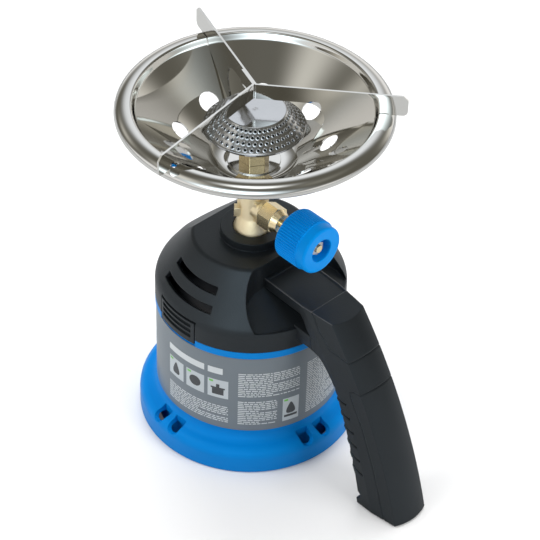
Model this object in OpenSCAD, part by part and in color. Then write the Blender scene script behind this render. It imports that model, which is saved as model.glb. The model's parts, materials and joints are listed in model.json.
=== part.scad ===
// Camping gas stove on a pierced cartridge. A blue tub holds the cartridge, a black
// head with a pistol grip clips on top, and a cast brass valve carries a polished
// bowl with a perforated burner and three pot-support blades.
// The origin lies on the stove's axis at the floor. +X points along the handle.

/* [Cartridge and tub] */
// Radius of the gas cartridge
cartridge_r = 45; // [43:0.5:47]
// Height of the gas cartridge
cartridge_h = 94.5; // [90:0.5:100]
// Sheet thickness of the cartridge
cartridge_wall = 0.6; // [0.4:0.1:1]
// Height of the cartridge's straight side
cartridge_side_h = 68; // [64:0.5:71]
// Radius of the cartridge's neck
neck_r = 15; // [13:0.5:18]
// Height of the cartridge's neck
neck_rise = 4.5; // [3:0.5:6]
// Gap between cartridge and tub wall
cartridge_gap = 0.9; // [0.6:0.1:1.4]
// Wall of the tub
tub_wall = 1.8; // [1.6:0.1:2.6]
// Height of the tub's rim
tub_h = 75; // [72:0.5:78]
// Height of the tub's floor, where the cartridge stands
floor_z = 4; // [3:0.5:6]
// Thickness of the tub's floor
floor_t = 2; // [1.5:0.1:2.5]
// Height of the bright band round the rim
band_h = 4; // [3.5:0.5:6]
// How far the band stands proud of the tub wall
band_t = 0.8; // [0.6:0.1:1.2]
// Thickness of the printed sleeve
label_t = 0.3; // [0.2:0.05:0.5]

/* [Foot] */
// Radius of the foot
base_r = 57; // [54:0.5:64]
// Height of the foot's straight wall
foot_h = 9; // [6:0.5:11]
// Height at which the shoulder meets the tub
shoulder_h = 20; // [17:0.5:25]
// Radius of the pad under the middle of the floor
pad_r = 8; // [5:0.5:12]
// Wall of the foot
foot_wall = 2.2; // [1.6:0.1:3]
// Chamfer at the foot's lower edge
foot_chamfer = 0.8; // [0.4:0.1:1.2]
// Width of a vent slot in the shoulder
base_slot_w = 7; // [5:0.5:9]
// Height of the lowest point of a vent slot above the floor
base_slot_z = 10.7; // [10:0.1:12]
// Angle between the two slots of a pair
base_slot_step = 12; // [10:0.5:16]
// Turn of the tub and its latches from the square to the handle
clip_turn = -4; // [-8:1:8]

/* [Head] */
// Wall of the head
head_wall = 2.2; // [1.8:0.1:3]
// Gap between the head and the tub's rim
head_gap = 0.2; // [0.1:0.1:0.4]
// Height of the head's straight skirt
skirt_h = 11.3; // [10.5:0.1:14]
// Height of the head's flat top above the cartridge
head_room = 14.1; // [13:0.1:18]
// Radius of the head's flat top
top_r = 29.8; // [26:0.2:33]
// Distance from the axis to the flat faces in front and at the back
flat_x = 22.6; // [21:0.1:25]
// Slope of the back face from the horizontal
back_slope = 42.5; // [38:0.5:48]
// Radius of the boss round the valve
boss_r = 15.9; // [13:0.1:18]
// Height of the boss
boss_h = 4.4; // [3:0.1:6]
// Depth of the valve's seat in the boss
seat_depth = 1.5; // [1:0.1:2]
// Radius of the scoops beside the handle
scoop_r = 12.5; // [10:0.5:14]
// Sideways place of the scoops
scoop_y = 19; // [17:0.5:21]
// Width of a vent slot on the slope
vent_w = 4.2; // [3:0.1:5]
// Angle that a vent slot runs round the head
vent_angle = 48; // [36:1:56]
// Height of the lower vent slot above the skirt
vent_low = 7.4; // [6:0.1:8]
// Height of the upper vent slot above the skirt
vent_high = 15.4; // [14:0.1:17]
// Radius of the round edge between skirt and cone
skirt_round = 10; // [4:0.5:12]
// Radius of the round edge of the flat top
top_round = 3; // [1:0.5:4]

/* [Latches] */
// Width of a latch
latch_w = 26; // [22:0.5:28]
// Gap round a latch
latch_gap = 0.6; // [0.4:0.1:0.8]
// Thickness of a latch's pad
latch_t = 2.2; // [1.8:0.1:2.6]
// Thickness of the lip that reaches over the tub's rim
lip_t = 0.95; // [0.8:0.05:1.1]
// How far the tooth reaches in from the lip
tooth_reach = 0.95; // [0.7:0.05:1.1]
// Radius of the pivot pins
pivot_r = 0.95; // [0.7:0.05:1.1]
// Running clearance of the pivots
pivot_clear = 0.05; // [0.03:0.01:0.1]

/* [Handle] */
// Width of the bridge and of the grip's top
grip_w = 23; // [20:0.5:26]
// Width of the grip at the floor
heel_w = 26.8; // [23:0.2:30]
// Distance from the axis to the knee
knee_x = 71.5; // [66:0.5:78]
// Distance from the axis to the grip's outer lower end
heel_x = 121; // [108:0.5:128]
// Height of the grip's lower end above the floor
heel_z = 1; // [0.5:0.1:4]
// How far the grip's outer line bows out
grip_bow = 7.8; // [5:0.2:10]
// Depth of the grip from its inner to its outer face
grip_depth = 20; // [17:0.5:24]
// Radius across the grip's outer face
grip_round = 26; // [18:0.5:40]
// Depth of the bridge
bridge_t = 6; // [5:0.2:8]
// Drop of the bridge's root below the head's top
bridge_drop = 8.1; // [7:0.1:9.5]
// Slope of the bridge
bridge_slope = 5.4; // [2:0.1:9]
// Distance from the axis to the knee cover's edge
knee_seam_x = 55; // [52:0.5:60]
// Depth of the covers in the grip
cover_depth = 9.5; // [6:0.5:12]
// Gap along the covers' edges
cover_gap = 0.3; // [0.2:0.05:0.5]
// Number of finger ribs
rib_count = 6; // [4:1:8]
// Depth of the hollows between the ribs
rib_depth = 1.5; // [0.8:0.1:2.2]

/* [Valve and knob] */
// Height of the knob's axis above the head
knob_rise = 17.4; // [16.5:0.1:20]
// Radius of the knob's ribs
knob_r = 13.3; // [11.5:0.1:15]
// Distance from the axis to the knob's back
knob_x = 29; // [27:0.5:32]
// Length of the knob
knob_len = 19.4; // [17:0.2:22]
// Length of the knob's smooth rim
knob_rim_len = 5.2; // [4:0.1:7]
// Number of ribs round the knob
knob_ribs = 60; // [36:2:72]
// Radius of the recess in the knob's face
recess_r = 5.7; // [5:0.1:7]
// Radius of the spindle
spindle_r = 2; // [1.6:0.1:2.2]
// Running clearance of the spindle
spindle_clear = 0.06; // [0.03:0.01:0.1]
// Travel of the spindle from closed to open
spindle_travel = 1.6; // [0.8:0.1:2]
// Radius of the valve's threaded shank
shank_r = 6; // [5:0.1:7]
// Radius of the valve's flared foot
valve_foot_r = 9.4; // [8.4:0.1:11]
// Radius of the valve's column
column_r = 6.2; // [5.4:0.1:7]

/* [Bowl] */
// Height of the bowl's seat above the head
bowl_rise = 44.4; // [40:0.2:52]
// Radius of the bowl's crest
crest_r = 61; // [54:0.5:68]
// Depth of the bowl from crest to floor
bowl_depth = 33.8; // [28:0.2:36]
// Reach of the brim beyond the crest
brim_w = 6.1; // [4:0.1:8]
// Drop of the brim below the crest
brim_drop = 4.6; // [3:0.1:7]
// Sheet thickness of the bowl
sheet_t = 0.8; // [0.6:0.1:1]
// Radius of the bowl's flat floor
bowl_floor_r = 14; // [13.2:0.1:17]
// Distance from the edge of the flat floor to the foot of the sloping wall
floor_edge = 4.5; // [3:0.1:7]
// Radius of the holes in the bowl
hole_r = 5.3; // [4:0.1:6]
// Distance of the holes from the axis
hole_ring_r = 35.5; // [32:0.5:40]
// Number of holes in the bowl
hole_count = 8; // [6:1:9]

/* [Burner and pot support] */
// Radius of the burner's rim
burner_r = 24.6; // [21:0.2:25.2]
// Radius of the burner's flat top
disc_r = 14.8; // [11:0.2:17]
// Height of the burner's flat top above the bowl's floor
disc_rise = 29.8; // [27:0.2:32]
// Height of the burner's cone
cone_h = 9; // [7:0.2:11]
// Rows of burner holes
flame_rows = 4; // [2:1:5]
// Burner holes in a row
flame_holes = 46; // [24:1:48]
// Radius of a burner hole
flame_r = 0.55; // [0.4:0.05:0.7]
// Sheet thickness of the blades
blade_t = 1; // [0.8:0.1:1.4]
// Reach of the blades from the axis
blade_r = 72; // [68:0.5:80]
// Rise of the blades above the bowl's crest
blade_rise = 10.4; // [8:0.2:14]
// Depth of the strip over the burner
strip_h = 8; // [6:0.2:9]
// Radius of the arch cut in a blade beside the burner
arch_r = 9; // [6:0.5:10]
// Distance from the axis to the middle of the arch
arch_x = 24; // [20:0.5:26]
// Turn of the first blade from the handle
blade_turn = 40.4; // [30:0.5:50]

/* [Hidden] */
$fn = 72;

// How far cutting tools run past the faces that they cut
past = 1;

// Where round walls start, between their slots, notches and holes
start_turn = 20;

// Radii and heights of the tub and the head
tub_in = cartridge_r + cartridge_gap;
tub_r = tub_in + tub_wall;
skirt_r = tub_r + band_t;
cartridge_top = floor_z + cartridge_h;
skirt_z = tub_h + head_gap;
skirt_top = skirt_z + skirt_h;
top_z = cartridge_top + head_room;
label_gap = 0.06;
label_edge = 0.4;
cone_lean = atan2(skirt_r - top_r, top_z - skirt_top);
low_cone_z = cartridge_top + 1.5;
low_cone_in = 2;
scoop_in = 0.6;

// How pointed the cartridge's dome is: 1 is an ellipse and 2 a cone
dome_power = 1.4;
can_edge = 1.5;
neck_edge = 1;

// Shoulder of the foot: two equal arcs, one bulging and one hollow
shoulder_turn = 2 * atan((base_r - tub_r) / (shoulder_h - foot_h));
shoulder_round = (shoulder_h - foot_h) / (2 * sin(shoulder_turn));
slot_top = 1.6;

// Latches sit across the handle, turned a little with the tub
latch_angles = [clip_turn - 90, clip_turn + 90];
latch_clear = 0.3;
latch_top = skirt_top - latch_gap - latch_clear;
latch_foot = tub_h - 2.4;
latch_pivot_z = skirt_top - 5.5;
latch_pivot_n = skirt_r - 4.3;
latch_arm = 2.4;
arm_box = [3, 3.2];
notch_r = skirt_r - lip_t - 0.35;
tooth_w = 10;
tooth_h = 1;
tooth_drop = 0.55;
pivot_len = 2.2;
ear_t = 2.8;
ear_box = [4, 4.4];
window_depth = 6;
groove_count = 3;
groove_h = 2.3;
groove_step = 3.3;
groove_depth = 1;
groove_side = 2;

// Handle in its own plane: x and z of its main points
bridge_z = top_z - bridge_drop;
knee = [knee_x, bridge_z - (knee_x - flat_x) * tan(bridge_slope)];
heel = [heel_x, heel_z];
grip_line = heel - knee;
grip_chord = norm(grip_line);
grip_out = [-grip_line.y, grip_line.x] / grip_chord;
grip_R = grip_chord * grip_chord / (8 * grip_bow) + grip_bow / 2;
grip_centre = (knee + heel) / 2 - grip_out * (grip_R - grip_bow);
grip_in_R = grip_R - grip_depth;
cover_R = grip_R - cover_depth;
knee_angle = atan2(knee.y - grip_centre.y, knee.x - grip_centre.x);
heel_angle = atan2(heel.y - grip_centre.y, heel.x - grip_centre.x);
band_angles = [knee_angle - 10, knee_angle - 5.4];
grip_sweep = 60;
strut_h = 8.2;
strut_w = 30;
rib_start = knee_angle - 8.2;
rib_step = (rib_start - heel_angle - 8.4) / (rib_count - 1);
nub_r = 3;
tray_edge = 1.3;
tray_depth = 0.4;
tray_start = 2.5;
screw_r = 1.5;
screw_clear = 0.1;
screw_len = 13;
screw_head = [3, 2.4];
screw_y = 6;

// Valve, from its shank up
shank_z = cartridge_top + 3;
seat_z = top_z + boss_h - seat_depth;
knob_z = top_z + knob_rise;
bowl_seat = top_z + bowl_rise;
shank_gap = 0.2;
lock_nut_af = 17;
lock_nut_h = 6;
foot_edge = 1.6;
flare_r = column_r + 1.4;
flare_h = 6;
flare_top = 9;
head_r = 9;
head_h = 4;
head_flare = 8;
lug = [4, 4, 5];
lug_turn = -134;
lug_z = 8;
web = [column_r + 0.6, 4.2, 11];
web_z = 9;
spigot_r = 4.5;
spigot_gap = 0.2;
spigot_top = 7;
inlet_r = 2.2;
branch_len = 9.5;
branch_r = 5.2;
screw_in = 2.5;
screw_in_r = branch_r - 1.2;
gland_af = 12.4;
gland_hex_h = 8;
gland_end = 21;
gland_taper = 1.4;
ring_x = 13.5;
ring_tube = 0.75;
ring_mid = spindle_r - 0.4 + ring_tube;
ring_clear = 0.05;
ring_room = 0.4;
tip_x = 3;
tip_len = 3;
tip_r = 0.6;
needle_r = 1.2;
needle_bore = 0.4;
needle_tip = 2.5;
needle_in = 9;
pierce_depth = 7;
pierce_gap = 0.2;
gas_r = 0.8;
gas_x = 2.6;
stem_af = 13;
air_hole_r = 1.3;
air_hole_z = 9.4;
jet_af = 5;
jet_hex_h = 1.6;
jet_h = 3;
jet_r = [2.2, 1.2];
jet_bore = 0.4;
groove_r = 0.42;
knob_in = 0.8;
knob_round = 1.6;
knob_shell = 2.4;
knob_hub = 2.6;
knob_face = 3;
knob_nut_af = 7;
knob_nut_h = 3.2;
recess_depth = 6;

// Bowl, burner and blades
bowl_floor = bowl_seat + sheet_t;
crest_z = bowl_floor + bowl_depth;
crest_round = 2.2;
wall_foot_r = bowl_floor_r + floor_edge;
wall_slope = atan2(bowl_depth, crest_r - wall_foot_r);
bowl_round = floor_edge / tan(wall_slope / 2);
brim_edge = 0.6;
hole_turn = 130.6;
slot_gap = 0.35;
washer_t = 0.6;
washer_r = 13;
stem_z = bowl_floor + washer_t;
stem_h = 12.2;
disc_z = bowl_floor + disc_rise;
cone_z = disc_z - cone_h;
rim_h = 0.6;
rim_out = 0.2;
rim_t = 1.6;
tube_r = 5.5;
tube_wall = 1;
cup_h = 5;
cup_flat = 2;
cup_lip = [3.4, 0.6];
blade_top = crest_z + blade_rise;
blade_foot = bowl_floor + 12.7;
blade_in_r = burner_r + 2.7;
blade_toe = 0.8;
tip_h = 11;
corner = 2.5;
tab_len = 13;
elbow_r = blade_t * 0.55;

// Points of an arc round c
function arc(c, r, a0, a1, n) =
    [for (i = [0:n]) c + r * [cos(a0 + (a1 - a0) * i / n), sin(a0 + (a1 - a0) * i / n)]];

// A curve moved sideways by t, to the right of its direction
function beside(p, t) = [for (i = [0:len(p) - 1])
    let (d = p[min(i + 1, len(p) - 1)] - p[max(i - 1, 0)]) p[i] + t * [d.y, -d.x] / norm(d)];

function backwards(p) = [for (i = [len(p) - 1:-1:0]) p[i]];

// Height of the bridge's top face at x
function bridge_top(x) = bridge_z - (x - flat_x) * tan(bridge_slope);

module ring(r_in, r_out, z0, z1) {
    translate([0, 0, z0]) difference() {
        cylinder(r = r_out, h = z1 - z0);
        translate([0, 0, -past]) cylinder(r = r_in, h = z1 - z0 + 2 * past);
    }
}

module hexagon(af, h) {
    cylinder(r = af / sqrt(3), h = h, $fn = 6);
}

// Turns a shape drawn along Z so that it lies along the knob's axis, starting at x
module along_knob(x) {
    translate([x, 0, knob_z]) rotate([0, 90, 0]) children();
}

// A plate with the outline of its children in the plane of the handle
module upright(w) {
    rotate([90, 0, 0]) linear_extrude(w, center = true) children();
}

// Base: tub, foot, band, vents and the latches' notches

module base_slot() {
    round_z = base_slot_z + base_slot_w / 2;
    translate([tub_r + past, 0, 0]) rotate([90, 0, 90]) linear_extrude(base_r) polygon(concat(
        arc([0, round_z], base_slot_w / 2, 180, 360, 12),
        [[base_slot_w / 2, shoulder_h - slot_top], [-base_slot_w / 2, shoulder_h - slot_top]]));
}

module latch_notch() {
    half = latch_w / 2 + latch_gap;
    intersection() {
        ring(notch_r, skirt_r + past, tub_h - band_h - latch_clear, tub_h + past);
        translate([0, -half, 0]) cube([base_r, 2 * half, top_z]);
    }
    translate([tub_in - past, -tooth_w / 2 - latch_gap, latch_foot - latch_clear])
        cube([tub_wall + 3 * past, tooth_w + 2 * latch_gap, tooth_h + latch_clear + tooth_drop]);
}

module base_tub() color("dodgerblue") difference() {
    rotate([0, 0, start_turn]) rotate_extrude() polygon(concat(
        [[0, 0], [pad_r, 0], [pad_r, floor_z - floor_t]],
        [[tub_in - tub_wall, floor_z - floor_t], [tub_in - tub_wall, 0], [tub_r, 0]],
        [[tub_r, foot_h + (shoulder_round - foot_wall) * sin(shoulder_turn)]],
        arc([base_r - shoulder_round, foot_h], shoulder_round - foot_wall, shoulder_turn, 0, 8),
        [[base_r - foot_wall, 0], [base_r - foot_chamfer, 0], [base_r, foot_chamfer]],
        arc([base_r - shoulder_round, foot_h], shoulder_round, 0, shoulder_turn, 10),
        arc([tub_r + shoulder_round, shoulder_h], shoulder_round, 180 + shoulder_turn * 0.9, 180, 9),
        [[tub_r, tub_h - band_h], [skirt_r, tub_h - band_h], [skirt_r, tub_h], [tub_in, tub_h]],
        [[tub_in, floor_z], [0, floor_z]]));
    for (quarter = [0:3], side = [-1, 1])
        rotate([0, 0, clip_turn + quarter * 90 + side * base_slot_step / 2]) base_slot();
    for (angle = latch_angles) rotate([0, 0, angle]) latch_notch();
}

module label_sleeve() color("slategray")
    ring(tub_r + label_gap, tub_r + label_gap + label_t, shoulder_h + label_edge,
        tub_h - band_h - label_edge);

// Cartridge, with the hole that the needle has made

module gas_cartridge() color("lightsteelblue") {
    side_z = floor_z + cartridge_side_h;
    dome_h = cartridge_h - cartridge_side_h - neck_rise;
    pierced_r = needle_r + pierce_gap;
    outer = concat([[cartridge_r - can_edge, floor_z], [cartridge_r, floor_z + can_edge]],
        [for (a = [0:10:90]) [neck_r + (cartridge_r - neck_r) * cos(a) ^ dome_power,
            side_z + dome_h * sin(a) ^ dome_power]],
        [[neck_r, cartridge_top - neck_edge], [neck_r - neck_edge, cartridge_top],
            [pierced_r, cartridge_top]]);
    inner = beside(outer, -cartridge_wall);
    lid = cartridge_top - cartridge_wall;
    rotate_extrude() polygon(concat([[0, floor_z]], outer, [[pierced_r, lid]],
        [for (i = [len(inner) - 3:-1:1]) [inner[i].x, min(inner[i].y, lid)]],
        [[cartridge_r - can_edge, floor_z + cartridge_wall], [0, floor_z + cartridge_wall]]));
}

// Head: a skirt, a cone with flats and scoops, vents, a boss and the latches' ears

// Plan of the space cut out round the handle's root, grown by s
module scoop_plan(s) {
    out = base_r + past;
    scoop_x = flat_x + scoop_r - scoop_in;
    translate([flat_x - s, -scoop_y]) square([out, 2 * scoop_y]);
    for (side = [-1, 1]) translate([scoop_x, side * scoop_y]) circle(scoop_r + s);
    translate([scoop_x, -scoop_y - scoop_r - s]) square([out, 2 * (scoop_y + scoop_r + s)]);
}

// The low cone that shows between the scoops, lowered by s
module low_cone(s) {
    rotate_extrude() polygon([[0, 0], [skirt_r - s, 0], [skirt_r - s, skirt_top - s],
        [skirt_r - low_cone_in - s, skirt_top - s], [flat_x - s, low_cone_z - s], [0, low_cone_z - s]]);
}

// Outer form of the head, drawn in by s
module head_form(s) {
    z0 = s > 0 ? skirt_z - past : skirt_z;
    difference() {
        rotate_extrude() polygon(s > 0
            ? [[0, z0], [skirt_r - s, z0], [skirt_r - s, skirt_top - s / 2], [top_r - s / 2, top_z - s],
                [0, top_z - s]]
            : concat([[0, z0], [skirt_r, z0]],
                arc([skirt_r - skirt_round, skirt_top - skirt_round * tan(cone_lean / 2)], skirt_round,
                    0, cone_lean, 8),
                arc([top_r - top_round * tan(45 - cone_lean / 2), top_z - top_round], top_round,
                    cone_lean, 90, 8),
                [[0, top_z]]));
        translate([-flat_x, 0, top_z - s * 1.2]) rotate([0, -back_slope, 0])
            translate([-base_r * 2, -base_r, 0]) cube([base_r * 2, 2 * base_r, base_r]);
        difference() {
            translate([0, 0, skirt_top - s]) linear_extrude(top_z) scoop_plan(s);
            low_cone(s);
        }
    }
}

module vent(rise) {
    r = skirt_r - rise * tan(cone_lean);
    for (angle = latch_angles) rotate([0, 0, angle - vent_angle / 2]) rotate_extrude(angle = vent_angle)
        translate([r, skirt_top + rise]) rotate(cone_lean) square([6 * head_wall, vent_w], center = true);
}

module latch_ears() {
    half = latch_w / 2 + latch_gap;
    intersection() {
        for (side = [-1, 1]) translate([0, side * (half + ear_t / 2), 0])
            translate([latch_pivot_n - ear_box.x * 0.4, -ear_t / 2, latch_pivot_z - ear_box.y / 2])
                cube([ear_box.x, ear_t, ear_box.y]);
        cylinder(r = skirt_r - head_wall / 2, h = top_z);
    }
}

module latch_window() {
    half = latch_w / 2 + latch_gap;
    translate([tub_in - window_depth, -half, skirt_z - past])
        cube([2 * window_depth, 2 * half, skirt_top - skirt_z + past]);
    translate([latch_pivot_n, 0, latch_pivot_z]) rotate([90, 0, 0])
        cylinder(r = pivot_r + pivot_clear, h = 2 * (half + pivot_len), center = true);
}

module screw_places() {
    for (side = [-1, 1]) translate([flat_x - head_wall, side * screw_y, bridge_z - bridge_t / 2])
        rotate([0, 90, 0]) children();
}

module top_housing() color("dimgray") difference() {
    union() {
        difference() {
            head_form(0);
            head_form(head_wall);
            vent(vent_low);
            vent(vent_high);
        }
        translate([0, 0, top_z - head_wall / 2]) cylinder(r = boss_r, h = boss_h + head_wall / 2);
        for (angle = latch_angles) rotate([0, 0, angle]) latch_ears();
    }
    translate([0, 0, seat_z]) cylinder(r = valve_foot_r + 2 * shank_gap, h = boss_h);
    translate([0, 0, top_z - 3 * head_wall]) cylinder(r = shank_r + shank_gap, h = boss_h + 3 * head_wall);
    for (angle = latch_angles) rotate([0, 0, angle]) latch_window();
    screw_places() translate([0, 0, -past]) cylinder(r = screw_r + screw_clear, h = head_wall + 2 * past);
}

// A rocking latch: a pad with grip grooves, a lip with a tooth, and two pivot pins

module latch_pad() {
    difference() {
        intersection() {
            union() {
                ring(skirt_r - latch_t, skirt_r, skirt_z, latch_top);
                ring(skirt_r - lip_t, skirt_r, latch_foot, skirt_z + latch_t / 2);
                intersection() {
                    ring(skirt_r - lip_t - tooth_reach, skirt_r - lip_t / 2,
                        latch_foot, latch_foot + tooth_h);
                    translate([0, -tooth_w / 2, 0]) cube([base_r, tooth_w, top_z]);
                }
            }
            translate([0, -latch_w / 2, 0]) cube([base_r, latch_w, top_z]);
        }
        for (row = [0:groove_count - 1]) intersection() {
            ring(skirt_r - groove_depth, skirt_r + past, skirt_z + groove_side / 5 + row * groove_step,
                skirt_z + groove_side / 5 + groove_h + row * groove_step);
            translate([0, groove_side - latch_w / 2, 0]) cube([base_r, latch_w - 2 * groove_side, top_z]);
        }
    }
}

module latch_pivot(side) {
    arm_y = side * (latch_w / 2 - latch_arm / 2) - latch_arm / 2;
    intersection() {
        translate([latch_pivot_n - arm_box.x / 2, arm_y, latch_pivot_z - arm_box.y / 2])
            cube([arm_box.x, latch_arm, arm_box.y]);
        cylinder(r = skirt_r - latch_t / 2, h = top_z);
    }
    translate([latch_pivot_n, side * (latch_w / 2 - past), latch_pivot_z]) rotate([-90 * side, 0, 0])
        cylinder(r = pivot_r, h = past + latch_gap + pivot_len - latch_clear);
}

module latch(angle) {
    rotate([0, 0, angle]) {
        latch_pad();
        latch_pivot(-1);
        latch_pivot(1);
    }
}

module latch_left() color("dimgray") latch(latch_angles[0]);

module latch_right() color("dimgray") latch(latch_angles[1]);

// Handle: bridge, strut and bowed grip, with covers over the knee and down the back

module at_grip_centre() {
    translate([grip_centre.x, 0, grip_centre.y]) rotate([90, 0, 0]) children();
}

// A sector of the grip between two radii, from angle a0 to a1
module grip_ring(r0, r1, a0, a1) {
    at_grip_centre() rotate(a0) rotate_extrude(angle = a1 - a0)
        translate([r0, -heel_w]) square([r1 - r0, 2 * heel_w]);
}

module grip_bar() {
    at_grip_centre() rotate(heel_angle - 10) rotate_extrude(angle = grip_sweep) intersection() {
        translate([grip_in_R, -heel_w]) square([grip_depth + past, 2 * heel_w]);
        translate([grip_R - grip_round, 0]) circle(grip_round);
    }
}

module grip_nub() {
    at_grip_centre() rotate(heel_angle + 1.6) translate([grip_in_R - nub_r / 3, 0, 0])
        cylinder(r = nub_r, h = 2 * heel_w, center = true);
}

module grip_hollows() {
    hollow_r = 3.4;
    at_grip_centre() for (i = [0:rib_count - 1]) rotate(rib_start - i * rib_step)
        translate([grip_in_R - hollow_r + rib_depth, 0, 0])
            cylinder(r = hollow_r, h = 2 * heel_w, center = true);
}

module strut() {
    root_x = skirt_r - 8;
    end_x = grip_centre.x + grip_in_R * cos(knee_angle) + 18;
    translate([0, 0, skirt_top - strut_h]) linear_extrude(strut_h) polygon([[root_x, -strut_w / 2],
        [end_x, -grip_w / 2], [end_x, grip_w / 2], [root_x, strut_w / 2]]);
}

// Everything between the handle's sides, its top face and the floor
module handle_limits() {
    reach = heel_x + base_r;
    intersection() {
        upright(2 * heel_w) polygon([[flat_x, heel_z], [reach, heel_z], [reach, bridge_top(reach)],
            [flat_x, bridge_top(flat_x)]]);
        rotate([90, 0, 90]) linear_extrude(reach) polygon([[-heel_w / 2, 0], [heel_w / 2, 0],
            [grip_w / 2, skirt_top], [grip_w / 2, top_z], [-grip_w / 2, top_z], [-grip_w / 2, skirt_top]]);
    }
}

module handle_form() {
    intersection() {
        union() {
            difference() {
                union() {
                    grip_bar();
                    grip_nub();
                }
                grip_hollows();
            }
            upright(grip_w) polygon([[flat_x, bridge_z], [knee_seam_x, bridge_top(knee_seam_x)],
                [knee_seam_x, bridge_top(knee_seam_x) - bridge_t], [flat_x, bridge_z - bridge_t]]);
        }
        handle_limits();
    }
    strut();
}

// The shallow tray between the raised edges of the bridge
module bridge_tray() {
    x0 = flat_x + tray_start;
    upright(grip_w - 2 * tray_edge) polygon([[x0, bridge_top(x0) - tray_depth],
        [knee_seam_x, bridge_top(knee_seam_x) - tray_depth],
        [knee_seam_x, bridge_z + past], [x0, bridge_z + past]]);
}

module knee_space(s) {
    difference() {
        grip_ring(cover_R, grip_R + past, band_angles[1] - s, heel_angle + grip_sweep);
        translate([0, -heel_w, 0]) cube([knee_seam_x - s * grip_R / 60, 2 * heel_w, 2 * top_z]);
    }
}

module back_space(s) {
    grip_ring(cover_R, grip_R + past, heel_angle - 10, band_angles[0] + s);
}

module handle_frame() color("dimgray") difference() {
    handle_form();
    low_cone(0);
    bridge_tray();
    knee_space(cover_gap * 60 / grip_R);
    back_space(cover_gap * 60 / grip_R);
    screw_places() cylinder(r = screw_r, h = screw_len);
}

module handle_knee_cover() color("gray") intersection() {
    handle_form();
    knee_space(0);
}

module handle_back_cover() color("gray") intersection() {
    handle_form();
    back_space(0);
}

module handle_screws() color("silver") screw_places() {
    cylinder(r = screw_r, h = screw_len);
    translate([0, 0, -screw_head.y]) cylinder(r = screw_head.x, h = screw_head.y);
}

// Valve: cast body, nut, seal, needle, gland and spindle

module valve_body() color("goldenrod") difference() {
    seat_h = bowl_seat - seat_z;
    union() {
        translate([0, 0, shank_z]) cylinder(r = shank_r, h = seat_z - shank_z);
        translate([0, 0, seat_z]) rotate_extrude() polygon([[0, 0], [valve_foot_r, 0],
            [valve_foot_r, foot_edge], [flare_r, flare_h], [column_r, flare_top],
            [column_r, seat_h - head_flare], [head_r, seat_h - head_h], [head_r, seat_h], [spigot_r, seat_h],
            [spigot_r, stem_z + spigot_top - seat_z], [0, stem_z + spigot_top - seat_z]]);
        along_knob(0) {
            cylinder(r = branch_r, h = branch_len);
            cylinder(r = screw_in_r, h = branch_len + screw_in);
        }
        rotate([0, 0, lug_turn]) translate([column_r - lug.x / 4, -lug.y / 2, seat_z + lug_z]) cube(lug);
        translate([-web.x, -web.y, seat_z + web_z]) cube([2 * web.x, 2 * web.y, web.z]);
    }
    translate([0, 0, shank_z - past]) cylinder(r = needle_r, h = needle_in + past);
    translate([0, 0, shank_z]) cylinder(r = gas_r, h = knob_z - shank_z);
    along_knob(0) cylinder(r = gas_r, h = gas_x + gas_r);
    along_knob(gas_x - gas_r) cylinder(r = spindle_r + spindle_clear, h = branch_len + screw_in);
    translate([gas_x, 0, knob_z]) cylinder(r = gas_r, h = bowl_seat + gas_x - knob_z);
    translate([0, 0, bowl_seat + inlet_r]) cylinder(r = inlet_r, h = stem_h);
}

module valve_lock_nut() color("gold") translate([0, 0, top_z - head_wall - lock_nut_h]) difference() {
    hexagon(lock_nut_af, lock_nut_h);
    translate([0, 0, -past]) cylinder(r = shank_r, h = lock_nut_h + 2 * past);
}

module cartridge_seal() color("black")
    ring(needle_r + screw_clear, shank_r + screw_clear * 5, cartridge_top, shank_z);

module piercing_needle() color("silver") translate([0, 0, cartridge_top - pierce_depth]) difference() {
    top = shank_z + needle_in - cartridge_top + pierce_depth;
    union() {
        translate([0, 0, needle_tip]) cylinder(r = needle_r, h = top - needle_tip);
        cylinder(r1 = needle_r / 4, r2 = needle_r, h = needle_tip);
    }
    translate([0, 0, needle_tip * 1.2]) cylinder(r = needle_bore, h = top);
}

module gland_nut() color("gold") along_knob(branch_len) difference() {
    union() {
        hexagon(gland_af, gland_hex_h);
        translate([0, 0, gland_hex_h]) cylinder(r1 = gland_af / 2, r2 = gland_af / 2 - gland_taper,
            h = gland_end - branch_len - gland_hex_h);
    }
    translate([0, 0, -past]) cylinder(r = screw_in_r, h = screw_in + past);
    cylinder(r = ring_mid + ring_tube + latch_clear,
        h = ring_x - branch_len + ring_tube + spindle_travel + ring_room);
    cylinder(r = spindle_r + spindle_clear, h = gland_end);
}

module spindle() color("darkgoldenrod") {
    groove = ring_tube + ring_clear;
    shaft_x = tip_x + tip_len;
    end_x = knob_x + knob_len - recess_depth + knob_nut_h + past;
    along_knob(tip_x) cylinder(r1 = tip_r, r2 = spindle_r, h = tip_len);
    along_knob(shaft_x) cylinder(r = spindle_r, h = ring_x - groove - shaft_x);
    along_knob(ring_x - groove) cylinder(r = ring_mid - ring_tube - ring_clear, h = 2 * groove);
    along_knob(ring_x + groove) cylinder(r = spindle_r, h = end_x - ring_x - groove);
}

module spindle_o_ring() color("black") along_knob(ring_x)
    rotate_extrude() translate([ring_mid, 0]) circle(ring_tube, $fn = 24);

// Knob with ribs, a smooth rim and a recess for the nut

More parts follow.
